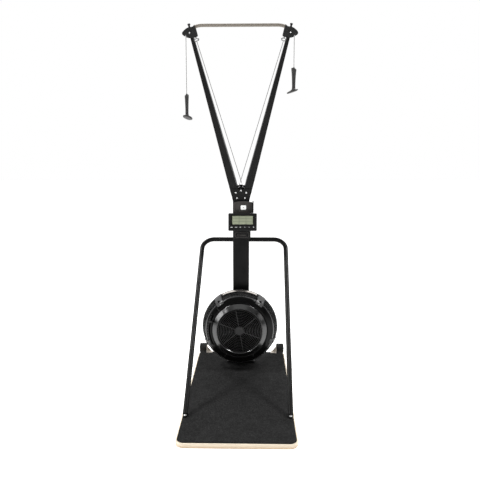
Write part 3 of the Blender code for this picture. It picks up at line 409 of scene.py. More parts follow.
def skin(rings, closed=False):
    """Quads through rings of equal counts. One point is a pole; closed joins the last ring to the first."""
    shape = bmesh.new()
    made = [[shape.verts.new(point) for point in ring] for ring in rings]
    pairs = list(zip(made, made[1:]))
    if closed:
        pairs.append((made[-1], made[0]))
    for one, two in pairs:
        count = max(len(one), len(two))
        for i in range(count):
            j = (i + 1) % count
            if len(one) == 1:
                shape.faces.new((one[0], two[j], two[i]))
            elif len(two) == 1:
                shape.faces.new((one[i], one[j], two[0]))
            else:
                shape.faces.new((one[i], one[j], two[j], two[i]))
    if not closed:
        for ring in (made[0], made[-1]):
            if len(ring) > 2:
                shape.faces.new(ring)
    bmesh.ops.recalc_face_normals(shape, faces=shape.faces)
    return mesh_object("skin", shape)


def lathe(profile, place, steps, closed=False, shape_of=None):
    """A (radius, height) profile turned about the place's Z. shape_of may bend a ring's radius."""
    rings = []
    for index, (radius, height) in enumerate(profile):
        if radius == 0:
            rings.append([place @ Vector((0, 0, height))])
            continue
        ring = []
        for a in turns(steps):
            r = shape_of(radius, index, a) if shape_of else radius
            ring.append(place @ polar(r, a, height))
        rings.append(ring)
    return skin(rings, closed)


def softened(points, radius, steps=3, closed=True):
    """The outline with its corners rounded, each by as much of the radius as its sides allow."""
    result = []
    count = len(points)
    for i, point in enumerate(points):
        here = Vector(point)
        if not closed and i in (0, count - 1):
            result.append(tuple(here))
            continue
        before = Vector(points[i - 1]) - here
        after = Vector(points[(i + 1) % count]) - here
        reach = min(radius, before.length * 0.45, after.length * 0.45)
        one = here + before.normalized() * reach
        two = here + after.normalized() * reach
        for k in range(steps + 1):
            t = k / steps
            result.append(tuple(one * (1 - t) ** 2 + here * (2 * t * (1 - t)) + two * t ** 2))
    return result


def plate(outline, thick, place, edge, segments=2, holes=()):
    """A flat outline given half its thickness each way along the place's Z, with rounded edges."""
    curve = bpy.data.curves.new("plate", "CURVE")
    curve.dimensions = "2D"
    curve.fill_mode = "BOTH"
    curve.extrude = thick / 2
    for points in (outline, *holes):
        spline = curve.splines.new("POLY")
        spline.points.add(len(points) - 1)
        for target, (x, y) in zip(spline.points, points):
            target.co = (x, y, 0, 1)
        spline.use_cyclic_u = True
    flat = solid(new_object("plate", curve))
    weld = flat.modifiers.new("weld", "WELD")
    weld.merge_threshold = 0.000005
    plain = flat.modifiers.new("plain", "DECIMATE")
    plain.decimate_type = "DISSOLVE"
    plain.angle_limit = radians(1)
    if edge:
        bevelled(flat, edge, segments)
    return solid(flat, place)


def box(size, place, edge=0.001, segments=2):
    bpy.ops.mesh.primitive_cube_add(size=1)
    obj = bpy.context.object
    obj.data.transform(Matrix.Diagonal((*size, 1)))
    bevelled(obj, edge, segments)
    return solid(obj, place)


def rounded(width, height, radius, steps, centre=(0, 0)):
    points = []
    for quarter, (sx, sy) in enumerate([(1, 1), (-1, 1), (-1, -1), (1, -1)]):
        cx = centre[0] + sx * (width / 2 - radius)
        cy = centre[1] + sy * (height / 2 - radius)
        for i in range(steps + 1):
            a = pi / 2 * (quarter + i / steps)
            points.append((cx + radius * cos(a), cy + radius * sin(a)))
    return points


def polar(radius, angle, height):
    return Vector((radius * cos(angle), radius * sin(angle), height))


def arc(radius, start, end, steps, centre=(0, 0)):
    angles = [start + (end - start) * i / steps for i in range(steps + 1)]
    return [(centre[0] + radius * cos(a), centre[1] + radius * sin(a)) for a in angles]


def slab(width, height, radius, steps, thick, place, edge, centre=(0, 0), holes=()):
    """A plate whose outline is a rectangle with round corners."""
    return plate(rounded(width, height, radius, steps, centre), thick, place, edge, 2, holes)


def circle(radius, steps, centre=(0, 0)):
    return arc(radius, 0, 2 * pi, steps, centre)[:-1]


def tube_rings(points, radius, sides, normal=None):
    """Rings along points, kept from twisting. normal is the first ring's first direction."""
    rings = []
    for i, point in enumerate(points):
        along = (points[min(i + 1, len(points) - 1)] - points[max(i - 1, 0)]).normalized()
        if normal is None:
            normal = along.orthogonal().normalized()
        normal = (normal - along * normal.dot(along)).normalized()
        across = along.cross(normal)
        rings.append([point + (normal * cos(a) + across * sin(a)) * radius for a in turns(sides)])
    return rings


def tube(points, radius, sides):
    """A round bar along points."""
    points = [Vector(point) for point in points]
    return skin([[points[0]], *tube_rings(points, radius, sides), [points[-1]]])


def facing(place, normal, up=(0, 0, 1)):
    """A matrix at a place whose Z is the normal."""
    z = Vector(normal).normalized()
    y = Vector(up) - z * Vector(up).dot(z)
    if y.length < 1e-4:
        y = Vector((0, 1, 0)) - z * z.y
    y.normalize()
    return Matrix.Translation(place) @ Matrix((y.cross(z), y, z)).transposed().to_4x4()


def at(place, x=0.0, y=0.0, z=0.0, turn=0.0, axis="Z"):
    """The matrix moved within its own frame, then turned by so many degrees about one of its axes."""
    return place @ Matrix.Translation((x, y, z)) @ Matrix.Rotation(radians(turn), 4, axis)


def soft_ring(section, place, steps, corner):
    """A closed section with soft corners, turned about the place's Z."""
    return lathe(softened(section, corner, 2), place, steps, closed=True)


def hexed(rings):
    """A ring shape for lathe: the rings of these indexes are hexagons of that corner radius."""
    def shape(radius, index, angle):
        if index not in rings:
            return radius
        turn = (angle + pi / 6) % (pi / 3) - pi / 6
        return radius * cos(pi / 6) / cos(turn)
    return shape


def socket_bolt(radius, place):
    """A domed screw head with a hexagon socket."""
    tall = radius * 0.62
    profile = ((0, 0), (1, 0), (1, 0.22), (0.95, 0.5), (0.8, 0.82), (0.62, 0.98), (0.56, 1),
               (0.5, 1), (0.47, 0.9), (0.46, 0.42), (0, 0.36))
    return lathe([(radius * r, tall * h) for r, h in profile], place, 24, shape_of=hexed({7, 8, 9}))


def washer(radius, thick, place):
    edge = thick * 0.4
    profile = [(0, thick), (radius - edge, thick), (radius, thick - edge), (radius, 0), (0, 0)]
    return lathe(profile, place, 32)


def dome_nut(radius, place):
    """A washer under a hexagon nut with a closed dome."""
    rim = radius * 1.45
    across = radius * 1.08
    base = [(0, 0), (rim, 0), (rim, 0.0011), (rim * 0.96, 0.0014), (across, 0.0014), (across, radius * 0.72)]
    dome = ((0.86, 0.8), (0.78, 0.86), (0.72, 1.15), (0.52, 1.42), (0.25, 1.56), (0, 1.6))
    return lathe([*base, *((radius * r, radius * h) for r, h in dome)], place, 24, shape_of=hexed({4, 5}))


def on_arm(x, up, out=0.0):
    """A place on the leaning plane of the arms, and out in front of it."""
    return ARM_PLACE @ Vector((x, up, out))


LEANING = on_arm(0, 0, 1) - on_arm(0, 0, 0)
CONSOLE_PLACE = facing(TILT_PIN, FACE_OUT, FACE_UP)


# ---- carried-over nodes
def dress(node, material, width=0.0, segments=2):
    """Gives a node that stays its material and, with a width, rounded edges."""
    obj = NODES[node]
    obj.data.materials.clear()
    obj.data.materials.append(material)
    custom = obj.data.attributes.get("custom_normal")
    if custom:
        obj.data.attributes.remove(custom)
    weld = obj.modifiers.new("weld", "WELD")
    weld.merge_threshold = 0.000005
    obj.data.shade_smooth()
    if width:
        plain = obj.modifiers.new("plain", "DECIMATE")
        plain.decimate_type = "DISSOLVE"
        plain.angle_limit = radians(0.6)
        bevelled(obj, width, segments, 34)
        normals = obj.modifiers.new("normals", "WEIGHTED_NORMAL")
        normals.keep_sharp = False
        normals.weight = 100


def dress_nodes():
    for nodes, *look in (
        ("plywood_deck", PLY, 0.0022, 3),
        ("deck_mat", MAT, 0.0012),
        ("column", BLACK, 0.0006),
        ("console_bracket", PLASTIC, 0.001),
        ("console_body", PLASTIC, 0.0007),
        ("console_screen", LCD, 0.0005, 1),
        ("column_foot brace_clamp", BLACK, 0.0012),
        ("front_v_plate rear_v_plate", BLACK, 0.001),
        ("flywheel damper", DARK_STEEL, 0.0004, 1),
        ("axle front_bearing rear_bearing tilt_pin", STEEL, 0.0003, 1),
        ("left_arm right_arm", BLACK, 0.0016),
        ("left_head_front left_head_rear right_head_front right_head_rear", PLASTIC, 0.001),
        ("left_pulley left_centre_pulley left_drum", PLASTIC, 0.0003, 1),
        ("right_pulley right_centre_pulley right_drum", PLASTIC, 0.0003, 1),
        ("left_peg right_peg", PLASTIC, 0.0005, 1),
        ("left_cord_guide right_cord_guide", STEEL, 0.0003, 1),
        ("left_wheel_bracket right_wheel_bracket", ZINC, 0.0007),
        ("left_shock_cord right_shock_cord", ELASTIC),
        ("button_1 button_2 button_3 button_4 button_5 button_6", RUBBER, 0.0006),
    ):
        for node in nodes.split():
            dress(node, *look)


# ---- deck, wheels and feet
def make_wheel(side, sign):
    """A ribbed tyre with a recessed web and a hub."""
    body = side + "_wheel"
    place = facing(middle(body), (sign, 0, 0))
    radius = size_of(body).z / 2
    half = size_of(body).x / 2
    shoulder = half - 0.0065
    rib = 0.0016
    profile = [(0.0064, half - 0.004), (0.011, half - 0.004), (0.0125, half - 0.008),
               (radius * 0.62, half - 0.009), (radius * 0.7, half - 0.0015), (radius * 0.8, half),
               (radius - 0.0045, half - 0.0006), (radius - 0.0012, half - 0.003), (radius, shoulder)]
    tread = []
    grooves = 6
    for k in range(grooves):
        level = shoulder - 2 * shoulder * (k + 0.5) / grooves
        tread += [(radius, level + rib), (radius - rib, level + 0.001), (radius - rib, level - 0.001),
                  (radius, level - rib)]
    back = [(r, -h) for r, h in reversed(profile)]
    tyre = lathe([*profile, *tread, *back], place, 72, closed=True)
    piece(side + "_tyre", tyre, RUBBER, body, [body])
    cap = [(0, 0.004), (0.005, 0.0036), (0.0068, 0.0018), (0.0068, 0), (0, 0)]
    piece(side + "_wheel_cap", lathe(cap, at(place, z=half + 0.001), 32), STEEL, body)


def make_foot_bolts():
    """Nuts on the column's foot plate, and the bright bolts of the brace's flattened ends."""
    low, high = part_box("column_foot")
    top = MAT_TOP + 0.0083
    nuts = []
    for x in (low.x + 0.018, high.x - 0.018):
        for y in (low.y + 0.017, high.y - 0.017):
            nuts.append(dome_nut(0.0075, Matrix.Translation((x, y, top))))
    piece("column_foot_nuts", nuts, BLACK, "root")
    bolt_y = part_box("brace_tube")[0].y + 0.0125
    places = [Matrix.Translation((sign * BRACE_FOOT_X, bolt_y, MAT_TOP + 0.0064)) for _, sign in SIDES]
    thick = 0.0012
    piece("brace_foot_washers", [washer(0.0115, thick, place) for place in places], BLACK, "root")
    domes = [socket_bolt(0.008, at(place, z=thick)) for place in places]
    piece("brace_foot_bolts", domes, STEEL, "root")


def brace_route():
    """The U's centre line, as the frame has it, with finer bends."""
    low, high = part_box("brace_tube")
    feet = [Vector((sign * BRACE_FOOT_X, low.y + 0.022, MAT_TOP + 0.0123)) for _, sign in SIDES]
    top = Vector((BRACE_SHIFT, high.y - BRACE_TUBE, high.z - BRACE_TUBE + 0.0004))
    tops = [top + Vector((sign * BRACE_TOP_X, 0, 0)) for _, sign in SIDES]
    route = []
    for index in range(2):
        foot, corner, other = feet[index], tops[index], tops[1 - index]
        along = (foot - corner).normalized()
        across = (other - corner).normalized()
        angle = along.angle(across)
        back = BRACE_BEND / tan(angle / 2)
        centre = corner + (along + across).normalized() * (BRACE_BEND / sin(angle / 2))
        start = corner + along * back - centre
        end = corner + across * back - centre
        sweep = pi - angle
        bend = [centre + (start * sin(sweep * (1 - t / 16)) + end * sin(sweep * t / 16)) / sin(sweep)
                for t in range(17)]
        leg = [foot.lerp(bend[0], t / 8) for t in range(8)] + bend
        route.extend(leg if index == 0 else reversed(leg))
    return route


def make_brace():
    """The bent tube, whose ends flatten to the tabs that the bolts hold down."""
    route = brace_route()
    rings = tube_rings(route, BRACE_TUBE, 24, Vector((1, 0, 0)))
    floor = MAT_TOP + 0.0004
    for end in (0, -1):
        # The end ring lies flat on the mat, so that the tube runs into its tab.
        rings[end] = [Vector((p.x, p.y - 0.004, max(floor, min(p.z, floor + 0.02)))) for p in rings[end]]
    shapes = [skin(rings)]
    outline = [(-0.0105, -0.0215), (0.0105, -0.0215), (0.0142, 0.004), (0.0142, 0.026), (-0.0142, 0.026),
               (-0.0142, 0.004)]
    for _, sign in SIDES:
        place = Matrix.Translation((sign * BRACE_FOOT_X, route[0].y, MAT_TOP + 0.0033))
        shapes.append(plate(softened(outline, 0.006), 0.0058, place, 0.0012))
    piece("brace_bar", shapes, BLACK, "root", ["brace_tube"], 40)
    low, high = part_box("brace_clamp")
    screws = []
    for x in (low.x + 0.014, high.x - 0.014):
        for z in (low.z + 0.0085, high.z - 0.0085):
            screws.append(socket_bolt(0.0055, facing((x, high.y, z), (0, 1, 0))))
    piece("brace_clamp_screws", screws, STEEL, "root")


# ---- arms, heads and cords
def make_v_bolts():
    """Four screws and the pulleys' bolt, through both V plates."""
    stand = size_of("column").y / 2 + V_PLATE
    places = []
    for face in (1, -1):
        for x, z in ((-0.034, 1.1625), (0.034, 1.1625), (-0.0253, 1.1275), (0.0253, 1.1275)):
            if z < COLUMN_TOP:
                places.append(facing((x, COLUMN_Y - face * stand, z), (0, -face, 0)))
            else:
                up = (z - COLUMN_TOP + face * stand * sin(LEAN)) / cos(LEAN)
                places.append(facing(on_arm(x, up, face * stand), LEANING * face))
    places.append(facing(on_arm(0, CENTRE_UP, stand + 0.0003), LEANING))
    piece("v_plate_washers", [washer(0.0082, 0.001, place) for place in places], PLASTIC, "root")
    shapes = [socket_bolt(0.0056, at(place, z=0.001)) for place in places]
    out = stand + 0.0002
    shank = [(0, out), (0.004, out), (0.004, -out - 0.005), (0.0034, -out - 0.0056), (0, -out - 0.0056)]
    shapes.append(lathe(shank, at(ARM_PLACE, 0, CENTRE_UP), 24))
    shapes.append(dome_nut(0.005, facing(on_arm(0, CENTRE_UP, -out), -LEANING)))
    piece("v_plate_screws", shapes, STEEL, "root", ["centre_bolt"])


def make_throat_glints():
    """Bright steel rods between the V plates, put in as painted glints where the cords enter the slot."""
    glint_rods = []
    for sign in (-1, 1):
        for out in (-LANE, LANE):
            low = on_arm(sign * 0.021, 0.056, out)
            high = on_arm(sign * 0.006, 0.0668, out)
            glint_rods.append(tube([low, low.lerp(high, 0.5), high], 0.0016, 12))
    # These rods are painted glints, not working parts.
    piece("throat_painted_glints", glint_rods, STEEL, "root")


def make_cross_bar():
    """The cross tube with smooth bends at its ends."""
    end = HEADS["right"].x - 0.0275
    knee = 0.226
    up = HEAD_UP + 0.036
    corner = [(end, up - 0.008), (knee + 0.008, up - 0.0015), (knee - 0.012, up)]
    half = softened([*corner, (0, up)], 0.02, 6, closed=False)
    route = [(-x, y) for x, y in half] + [(x, y) for x, y in reversed(half[:-1])]
    bar = tube([on_arm(x, y) for x, y in route], 0.009, 32)
    piece("cross_bar", bar, TAUPE, "root", ["cross_tube"], 40)


def make_head_details(side, sign):
    """The screw on its dark washer, the pin, and the stirrup that guides the inner cord."""
    x = HEADS[side].x
    cheek = 0.0173
    front = facing(on_arm(x, HEAD_UP, cheek), LEANING)
    thick = 0.0012
    piece(side + "_head_washer", washer(0.0088, thick, front), PLASTIC, "root")
    low = cheek + 0.0002
    shank = [(0, low), (0.0049, low), (0.0049, -low - 0.001), (0.0042, -low - 0.0018), (0, -low - 0.0018)]
    shapes = [socket_bolt(0.0043, at(front, z=thick)), lathe(shank, at(ARM_PLACE, x, HEAD_UP), 24)]
    piece(side + "_head_screw", shapes, STEEL, "root", [side + "_pulley_pin"])
    top, along, _ = tangent(sign)
    inward = Vector((-along.y, along.x)) if sign > 0 else Vector((along.y, -along.x))
    corners = [(-0.01, 0.018), (-0.0118, -0.002), (-0.009, -0.006), (0.0118, -0.0062), (0.0138, -0.0022),
               (0.006, 0.0085), (-0.001, 0.018)]
    line = [top - along * 0.049 + inward * across + along * up for across, up in corners]
    line = softened([tuple(point) for point in line], 0.0035, 3, closed=False)
    loops = [tube([on_arm(px, py, out) for px, py in line], 0.0017, 12) for out in (-0.0148, 0.0148)]
    piece(side + "_stirrup", loops, CLIP, "root")


def tangent(sign):
    """Where the inner run meets the head pulley, its direction, and where it meets the centre pulley."""
    low = Vector((0, CENTRE_UP))
    high = Vector((sign * HEADS["right"].x, HEAD_UP))
    along = (high - low).normalized()
    across = Vector((along.y, -along.x)) * -sign
    turn = asin((PULLEY_RADIUS - CENTRE_RADIUS) / (high - low).length)
    normal = across * cos(turn) - along * sin(turn)
    return high + normal * PULLEY_RADIUS, along, low + normal * CENTRE_RADIUS


def make_cords(side, sign):
    """The inner run over its pulleys, and the free drop that hangs to the grip."""
    lane = -sign * LANE
    x = -sign * CENTRE_RADIUS
    lane_y = COLUMN_Y - lane
    top, _, low = tangent(sign)
    start = Vector((FAN_X + DRUM_RADIUS, lane_y, FAN_Z + 0.004))
    end = Vector((x, lane_y, COLUMN_TOP - 0.02))
    points = [start.lerp(end, part / 6) for part in range(7)]
    points += [on_arm(x, up, lane) for up in (0.012, CENTRE_UP * 0.8, CENTRE_UP)]
    points.append(on_arm(low.x, low.y, lane))
    for part in range(1, 11):
        place = low.lerp(top, part / 10)
        points.append(on_arm(place.x, place.y, lane * (1 - part / 10)))
    head = Vector((sign * HEADS["right"].x, HEAD_UP))
    first = atan2(top.y - head.y, top.x - head.x)
    last = pi if sign < 0 else 0.0
    points += [on_arm(px, py) for px, py in arc(PULLEY_RADIUS, first, last, 16, head)[1:]]
    rope = tube(points, CORD_RADIUS, 12)
    piece(side + "_inner_rope", rope, CORD, "root", [side + "_inner_cord"], 60)
    pivot = PIVOTS[side]
    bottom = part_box(side + "_cord_drop")[0].z
    length = pivot.z - bottom
    route = [pivot - Vector((0, 0, length * i / 30)) for i in range(31)]
    rope = tube(route, CORD_RADIUS, 12)
    drop = piece(side + "_hanging_rope", rope, CORD, None, [side + "_cord_drop"], 60)
    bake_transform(drop)


# ---- grips
def make_grip(side, turn):
    """A ski grip: a shaft whose slanted top flares sideways, over a foot that spreads into a tilted wing."""
    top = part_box(side + "_handle")[1].z
    place = at(Matrix.Translation((PIVOTS[side].x, PIVOTS[side].y, top)), turn=turn)
    body = side + "_handle"
    # (height, centre, half width, half depth, tilt in degrees) from the top down
    sections = [
        (-0.001, -0.0004, 0.006, 0.004, 14),
        (-0.002, -0.0004, 0.011, 0.0068, 15),
        (-0.0042, -0.0002, 0.0142, 0.009, 15),
        (-0.0072, 0.0, 0.0152, 0.01, 12),
        (-0.0105, 0.0, 0.015, 0.0103, 7),
        (-0.017, 0.0, 0.014, 0.0102, 2),
        (-0.03, 0, 0.0126, 0.0098, 0),
        (-0.045, 0, 0.0116, 0.0094, 0),
        (-0.065, 0, 0.0106, 0.009, 0),
        (-0.085, 0, 0.0099, 0.0086, 0),
        (-0.103, 0, 0.0096, 0.0085, 0),
        (-0.112, 0, 0.0099, 0.0088, 0),
        (-0.117, -0.0002, 0.0108, 0.0098, -3),
        (-0.12, -0.0008, 0.013, 0.0124, -7),
        (-0.1222, -0.002, 0.017, 0.0162, -12),
        (-0.1242, -0.0044, 0.0232, 0.0206, -16),
        (-0.126, -0.0062, 0.029, 0.0236, -18),
        (-0.1276, -0.0069, 0.0322, 0.025, -18),
        (-0.1293, -0.007, 0.0332, 0.0256, -18),
        (-0.1312, -0.007, 0.0334, 0.0256, -18),
        (-0.1326, -0.007, 0.0326, 0.025, -18),
        (-0.1336, -0.007, 0.0306, 0.0234, -18),
    ]
    rings = [[place @ Vector((0, 0, -0.0004))]]
    for height, centre, wide, deep, tilt in sections:
        slope = radians(tilt)
        rings.append([place @ Vector((centre + wide * cos(a) * cos(slope), deep * sin(a),
                                      height - wide * cos(a) * sin(slope))) for a in turns(48)])
    foot = at(place, -0.007, 0, -0.1338, -18, "Y")
    rings.append([foot.translation])
    piece(side + "_grip", skin(rings), GRIP, body, [body], 50)
    oval = [(0.029 * cos(a), 0.0218 * sin(a)) for a in turns(40)]
    piece(side + "_grip_sole", plate(oval, 0.0012, at(foot, z=-0.0003), 0.0004), SOLE, body)
    collar = [(0.0022, 0.004), (0.0032, 0.0036), (0.004, 0.0016), (0.005, 0.0002), (0.0052, -0.002),
              (0.0022, -0.002)]
    piece(side + "_grip_collar", lathe(collar, place, 24, closed=True), PLASTIC, body)


# ---- fan
def on_fan(degrees, radius, height, tip=0.0):
    """A place on the fan at this angle, radius and height, tipped outwards by so many degrees."""
    return at(at(FAN_PLACE, turn=degrees), radius, 0, height, tip, "Y")


def make_fan_back():
    """The rear shell, with twelve ribs on its inside."""
    radius = REAR_RADIUS
    rim = COLUMN_LOW.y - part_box("fan_rear_shell")[0].y
    front = [(0.03, 0.0075), (0.15, 0.0075), (0.172, 0.0085), (0.195, 0.012), (0.212, 0.0185), (0.225, 0.028),
             (radius - 0.0067, 0.04), (radius - 0.0042, 0.05), (radius - SHEET, rim)]
    back = [(radius + 0.0012, rim), (radius + 0.0022, rim - 0.0018), (radius + 0.0012, rim - 0.005),
            (radius - 0.0012, 0.05), (radius - 0.0037, 0.0395), (0.2278, 0.0262), (0.214, 0.016),
            (0.1958, 0.0092), (0.172, 0.0056), (0.15, 0.0046), (0.03, 0.0046)]
    shapes = [soft_ring([*front, *back], FAN_PLACE, 128, 0.0012)]
    for k in range(12):
        shapes.append(box((0.13, 0.0026, 0.003), on_fan(30 * k + 15, 0.13, 0.0088), 0.0008))
    piece("fan_back", shapes, GLOSS, "root", ["fan_rear_shell"], 28)


def make_fan_cover():
    """The front cover with the damper's slot, and the raised ring round the grille."""
    outer = FRONT_RADIUS
    rim = COVER_RIM
    step = BEZEL_OUT_AT
    face = [(BEZEL_OUT - 0.0015, step - 0.0034), (BEZEL_OUT + 0.0035, step - 0.0028),
            (BEZEL_OUT + 0.0065, step - 0.0014), (0.19, step - 0.0038), (outer - 0.012, rim + 0.011),
            (outer - 0.0045, rim + 0.0082), (outer - 0.0012, rim + 0.005), (outer, rim + 0.0012),
            (outer, rim), (outer - SHEET, rim), (outer - SHEET, rim + 0.0022), (outer - 0.0065, rim + 0.0052),
            (outer - 0.013, rim + 0.008), (0.19, step - 0.0068), (BEZEL_OUT, step - 0.006)]
    cover = soft_ring(face, FAN_PLACE, 144, 0.0012)
    sweep = (radians(150), radians(210))
    slot = arc(SLOT_RADIUS + 0.0045, *sweep, 28) + arc(SLOT_RADIUS - 0.0045, *reversed(sweep), 28)
    cutter = plate(slot, 0.03, at(FAN_PLACE, z=rim + 0.013), 0)
    opening = cover.modifiers.new("slot", "BOOLEAN")
    opening.object = cutter
    opening.solver = "EXACT"
    cover = solid(cover)
    bpy.data.objects.remove(cutter, do_unlink=True)
    piece("fan_cover", cover, GLOSS, "root", ["fan_front_cover"], 26)
    inner = BEZEL_IN
    lip = BEZEL_IN_AT
    raised = [(inner - 0.0055, lip - 0.012), (inner - 0.0045, lip - 0.005), (inner - 0.0012, lip - 0.0008),
              (inner + 0.0012, lip), (inner + 0.0035, lip - 0.0006), (BEZEL_OUT - 0.003, step + 0.002),
              (BEZEL_OUT, step - 0.0002), (BEZEL_OUT + 0.0008, step - 0.0024),
              (BEZEL_OUT - 0.0035, step - 0.003), (inner + 0.002, lip - 0.009), (inner - 0.002, lip - 0.0122)]
    piece("fan_bezel", soft_ring(raised, FAN_PLACE, 144, 0.001), BEZEL, "root", (), 26)
    ridges = []
    for degrees, wide in ((135, 0.0034), (160, 0.0034), (-118, 0.0028), (-62, 0.0028)):
        ridges.append(box((0.032, wide, 0.003), on_fan(degrees, 0.1935, step - 0.004, 10), 0.0011))
    piece("fan_ridges", ridges, BEZEL, "root", (), 34)


def make_fan_clips():
    """The clips that hold the cover, each with two knuckles and a black disc that is painted shade in place of
    a hole, and the upper two with a screw.
    """
    clips = []
    hole_shades = []
    screws = []
    rim = REAR_RADIUS
    outline = [(0.202, COVER_RIM + 0.015), (0.217, COVER_RIM + 0.0128), (0.23, COVER_RIM - 0.004),
               (rim + 0.0035, 0.078), (rim + 0.0042, 0.056), (rim + 0.0012, 0.047), (rim - 0.0006, 0.056),
               (rim - 0.0008, 0.07), (0.2215, COVER_RIM - 0.008), (0.2165, COVER_RIM + 0.003),
               (0.202, COVER_RIM + 0.0095)]
    for degrees, wide in ((54, 0.046), (126, 0.046), (204, 0.028), (-20, 0.028)):
        base = at(FAN_PLACE, turn=degrees)
        clips.append(plate(softened(outline, 0.004, 3), wide, at(base, turn=90, axis="X"), 0.0022))
        for shift in (-0.3, 0.3):
            knuckle = at(base, 0.2262, wide * shift, COVER_RIM - 0.0005, 48, "Y")
            clips.append(box((0.015, wide * 0.28, 0.009), knuckle, 0.0026, 3))
        # A black disc between the knuckles: painted shade where a hole would be.
        hole_shades.append(washer(wide * 0.17, 0.005, on_fan(degrees, 0.2262, COVER_RIM + 0.001, 48)))
        if wide > 0.04:
            screws.append(socket_bolt(0.003, on_fan(degrees, 0.2085, COVER_RIM + 0.014, 8)))
    piece("fan_clips", clips, CLIP, "root", (), 34)
    piece("fan_clip_painted_hole_shades", hole_shades, GLOSS, "root")
    piece("fan_clip_screws", screws, STEEL, "root")


def make_fan_painted_highlight():
    """A warm silver strip along the fan's top: a painted highlight on the gloss black rim."""
    rim = REAR_RADIUS
    profile = [(rim + 0.0001, 0.063), (rim + 0.0008, 0.0645), (rim + 0.0009, 0.072), (rim + 0.0006, 0.086),
               (rim - 0.001, 0.0985), (rim - 0.0022, 0.0985), (rim - 0.0002, 0.086), (rim + 0.0001, 0.072)]
    profile = softened(profile, 0.0006, 2)
    steps = 44
    angles = [radians(63 + 54 * i / steps) for i in range(steps + 1)]
    highlight_strip = skin([[FAN_PLACE @ polar(r, a, h) for r, h in profile] for a in angles])
    piece("fan_painted_highlight", highlight_strip, PAINTED_HIGHLIGHT, "root", (), 30)


def make_damper_details():
    """The damper's scale on the cover, and its knob with a pointer."""
    marks = []
    for k in range(13):
        long = 0.006 if k % 3 == 0 else 0.0036
        mark = on_fan(150 + 5 * k, 0.2048, COVER_RIM + 0.0126, 9.6)
        marks.append(box((long, 0.0012, 0.0005), mark, 0.0002, 1))
    piece("damper_scale", marks, DIM_PRINT, "root")
    knob = on_fan(162, SLOT_RADIUS, COVER_RIM + 0.0305)
    cap = slab(0.024, 0.015, 0.005, 5, 0.003, at(knob, z=0.0018), 0.0012)
    piece("damper_knob", cap, PLASTIC, "damper")
    line = box((0.011, 0.0016, 0.0006), at(knob, 0.001, 0, 0.0034), 0.0002, 1)
    piece("damper_pointer", line, DIM_PRINT, "damper")


def make_screen():
    """Perforated steel round the fan's edge: each cell of a grid has a hole with cut corners."""
    low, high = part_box("fan_screen")
    start = (REAR_RADIUS - 0.0008, COLUMN_LOW.y - high.y + 0.0003)
    end = (FRONT_RADIUS - 0.0002, COLUMN_LOW.y - low.y - 0.0003)
    columns, rows = 240, 11
    shape = bmesh.new()
    made = []
    for j in range(rows + 1):
        t = j / rows
        radius = start[0] + (end[0] - start[0]) * t + 0.0055 * sin(pi * t)
        height = start[1] + (end[1] - start[1]) * t
        made.append([shape.verts.new(FAN_PLACE @ polar(radius, a, height)) for a in turns(columns)])
    cells = []
    for one, two in zip(made, made[1:]):
        for i in range(columns):
            j = (i + 1) % columns
            cells.append(shape.faces.new((one[i], one[j], two[j], two[i])))
    holes = cells[columns:-columns]
    bmesh.ops.inset_individual(shape, faces=holes, thickness=0.0011)
    corners = list({vert for face in holes for vert in face.verts})
    bmesh.ops.bevel(shape, geom=corners, offset=0.0008, affect="VERTICES", segments=1)
    inner = [face for face in shape.faces if len(face.verts) == 8]
    bmesh.ops.delete(shape, geom=inner, context="FACES")
    sheet = mesh_object("screen", shape)
    thick = sheet.modifiers.new("thick", "SOLIDIFY")
    thick.thickness = 0.0009
    thick.offset = -1
    piece("fan_mesh", solid(sheet), SCREEN, "root", ["fan_screen"], 40)


def make_grille():
    """Eleven rings on six spokes round a domed hub."""
    level = COLUMN_LOW.y - middle("fan_grille").y
    hub = 0.028
    outer = BEZEL_IN - 0.0058
    wire = 0.0009
    first = 0.0335
    pitch = (outer - 0.0055 - first) / 10
    shapes = []
    for k in range(11):
        section = [(first + pitch * k + 1.25 * x, level + 0.0012 + y) for x, y in circle(wire, 8)]
        shapes.append(lathe(section, FAN_PLACE, 96, closed=True))
    length = outer - hub + 0.004
    for k in range(6):
        spoke = on_fan(40 + 60 * k, hub - 0.002 + length / 2, level - 0.0004)
        shapes.append(box((length, 0.0034, 0.003), spoke, 0.0008))
    piece("fan_guard", shapes, WIRE, "root", ["fan_grille"], 34)
    edge = [(outer - 0.0022, level - 0.003), (outer + 0.0006, level - 0.003), (outer + 0.0006, level + 0.003),
            (outer - 0.0022, level + 0.003)]
    piece("fan_guard_rim", soft_ring(edge, FAN_PLACE, 96, 0.0006), PLASTIC, "root")
    dome = [(0, level + 0.0052), (0.009, level + 0.0051), (0.0185, level + 0.0045), (0.0235, level + 0.0046),
            (0.0266, level + 0.0034), (hub, level + 0.0008), (hub, level - 0.003), (0, level - 0.003)]
    cap = lathe(softened(dome, 0.0008, 2, closed=False), FAN_PLACE, 64)
    piece("fan_hub_cap", cap, HUB, "root")


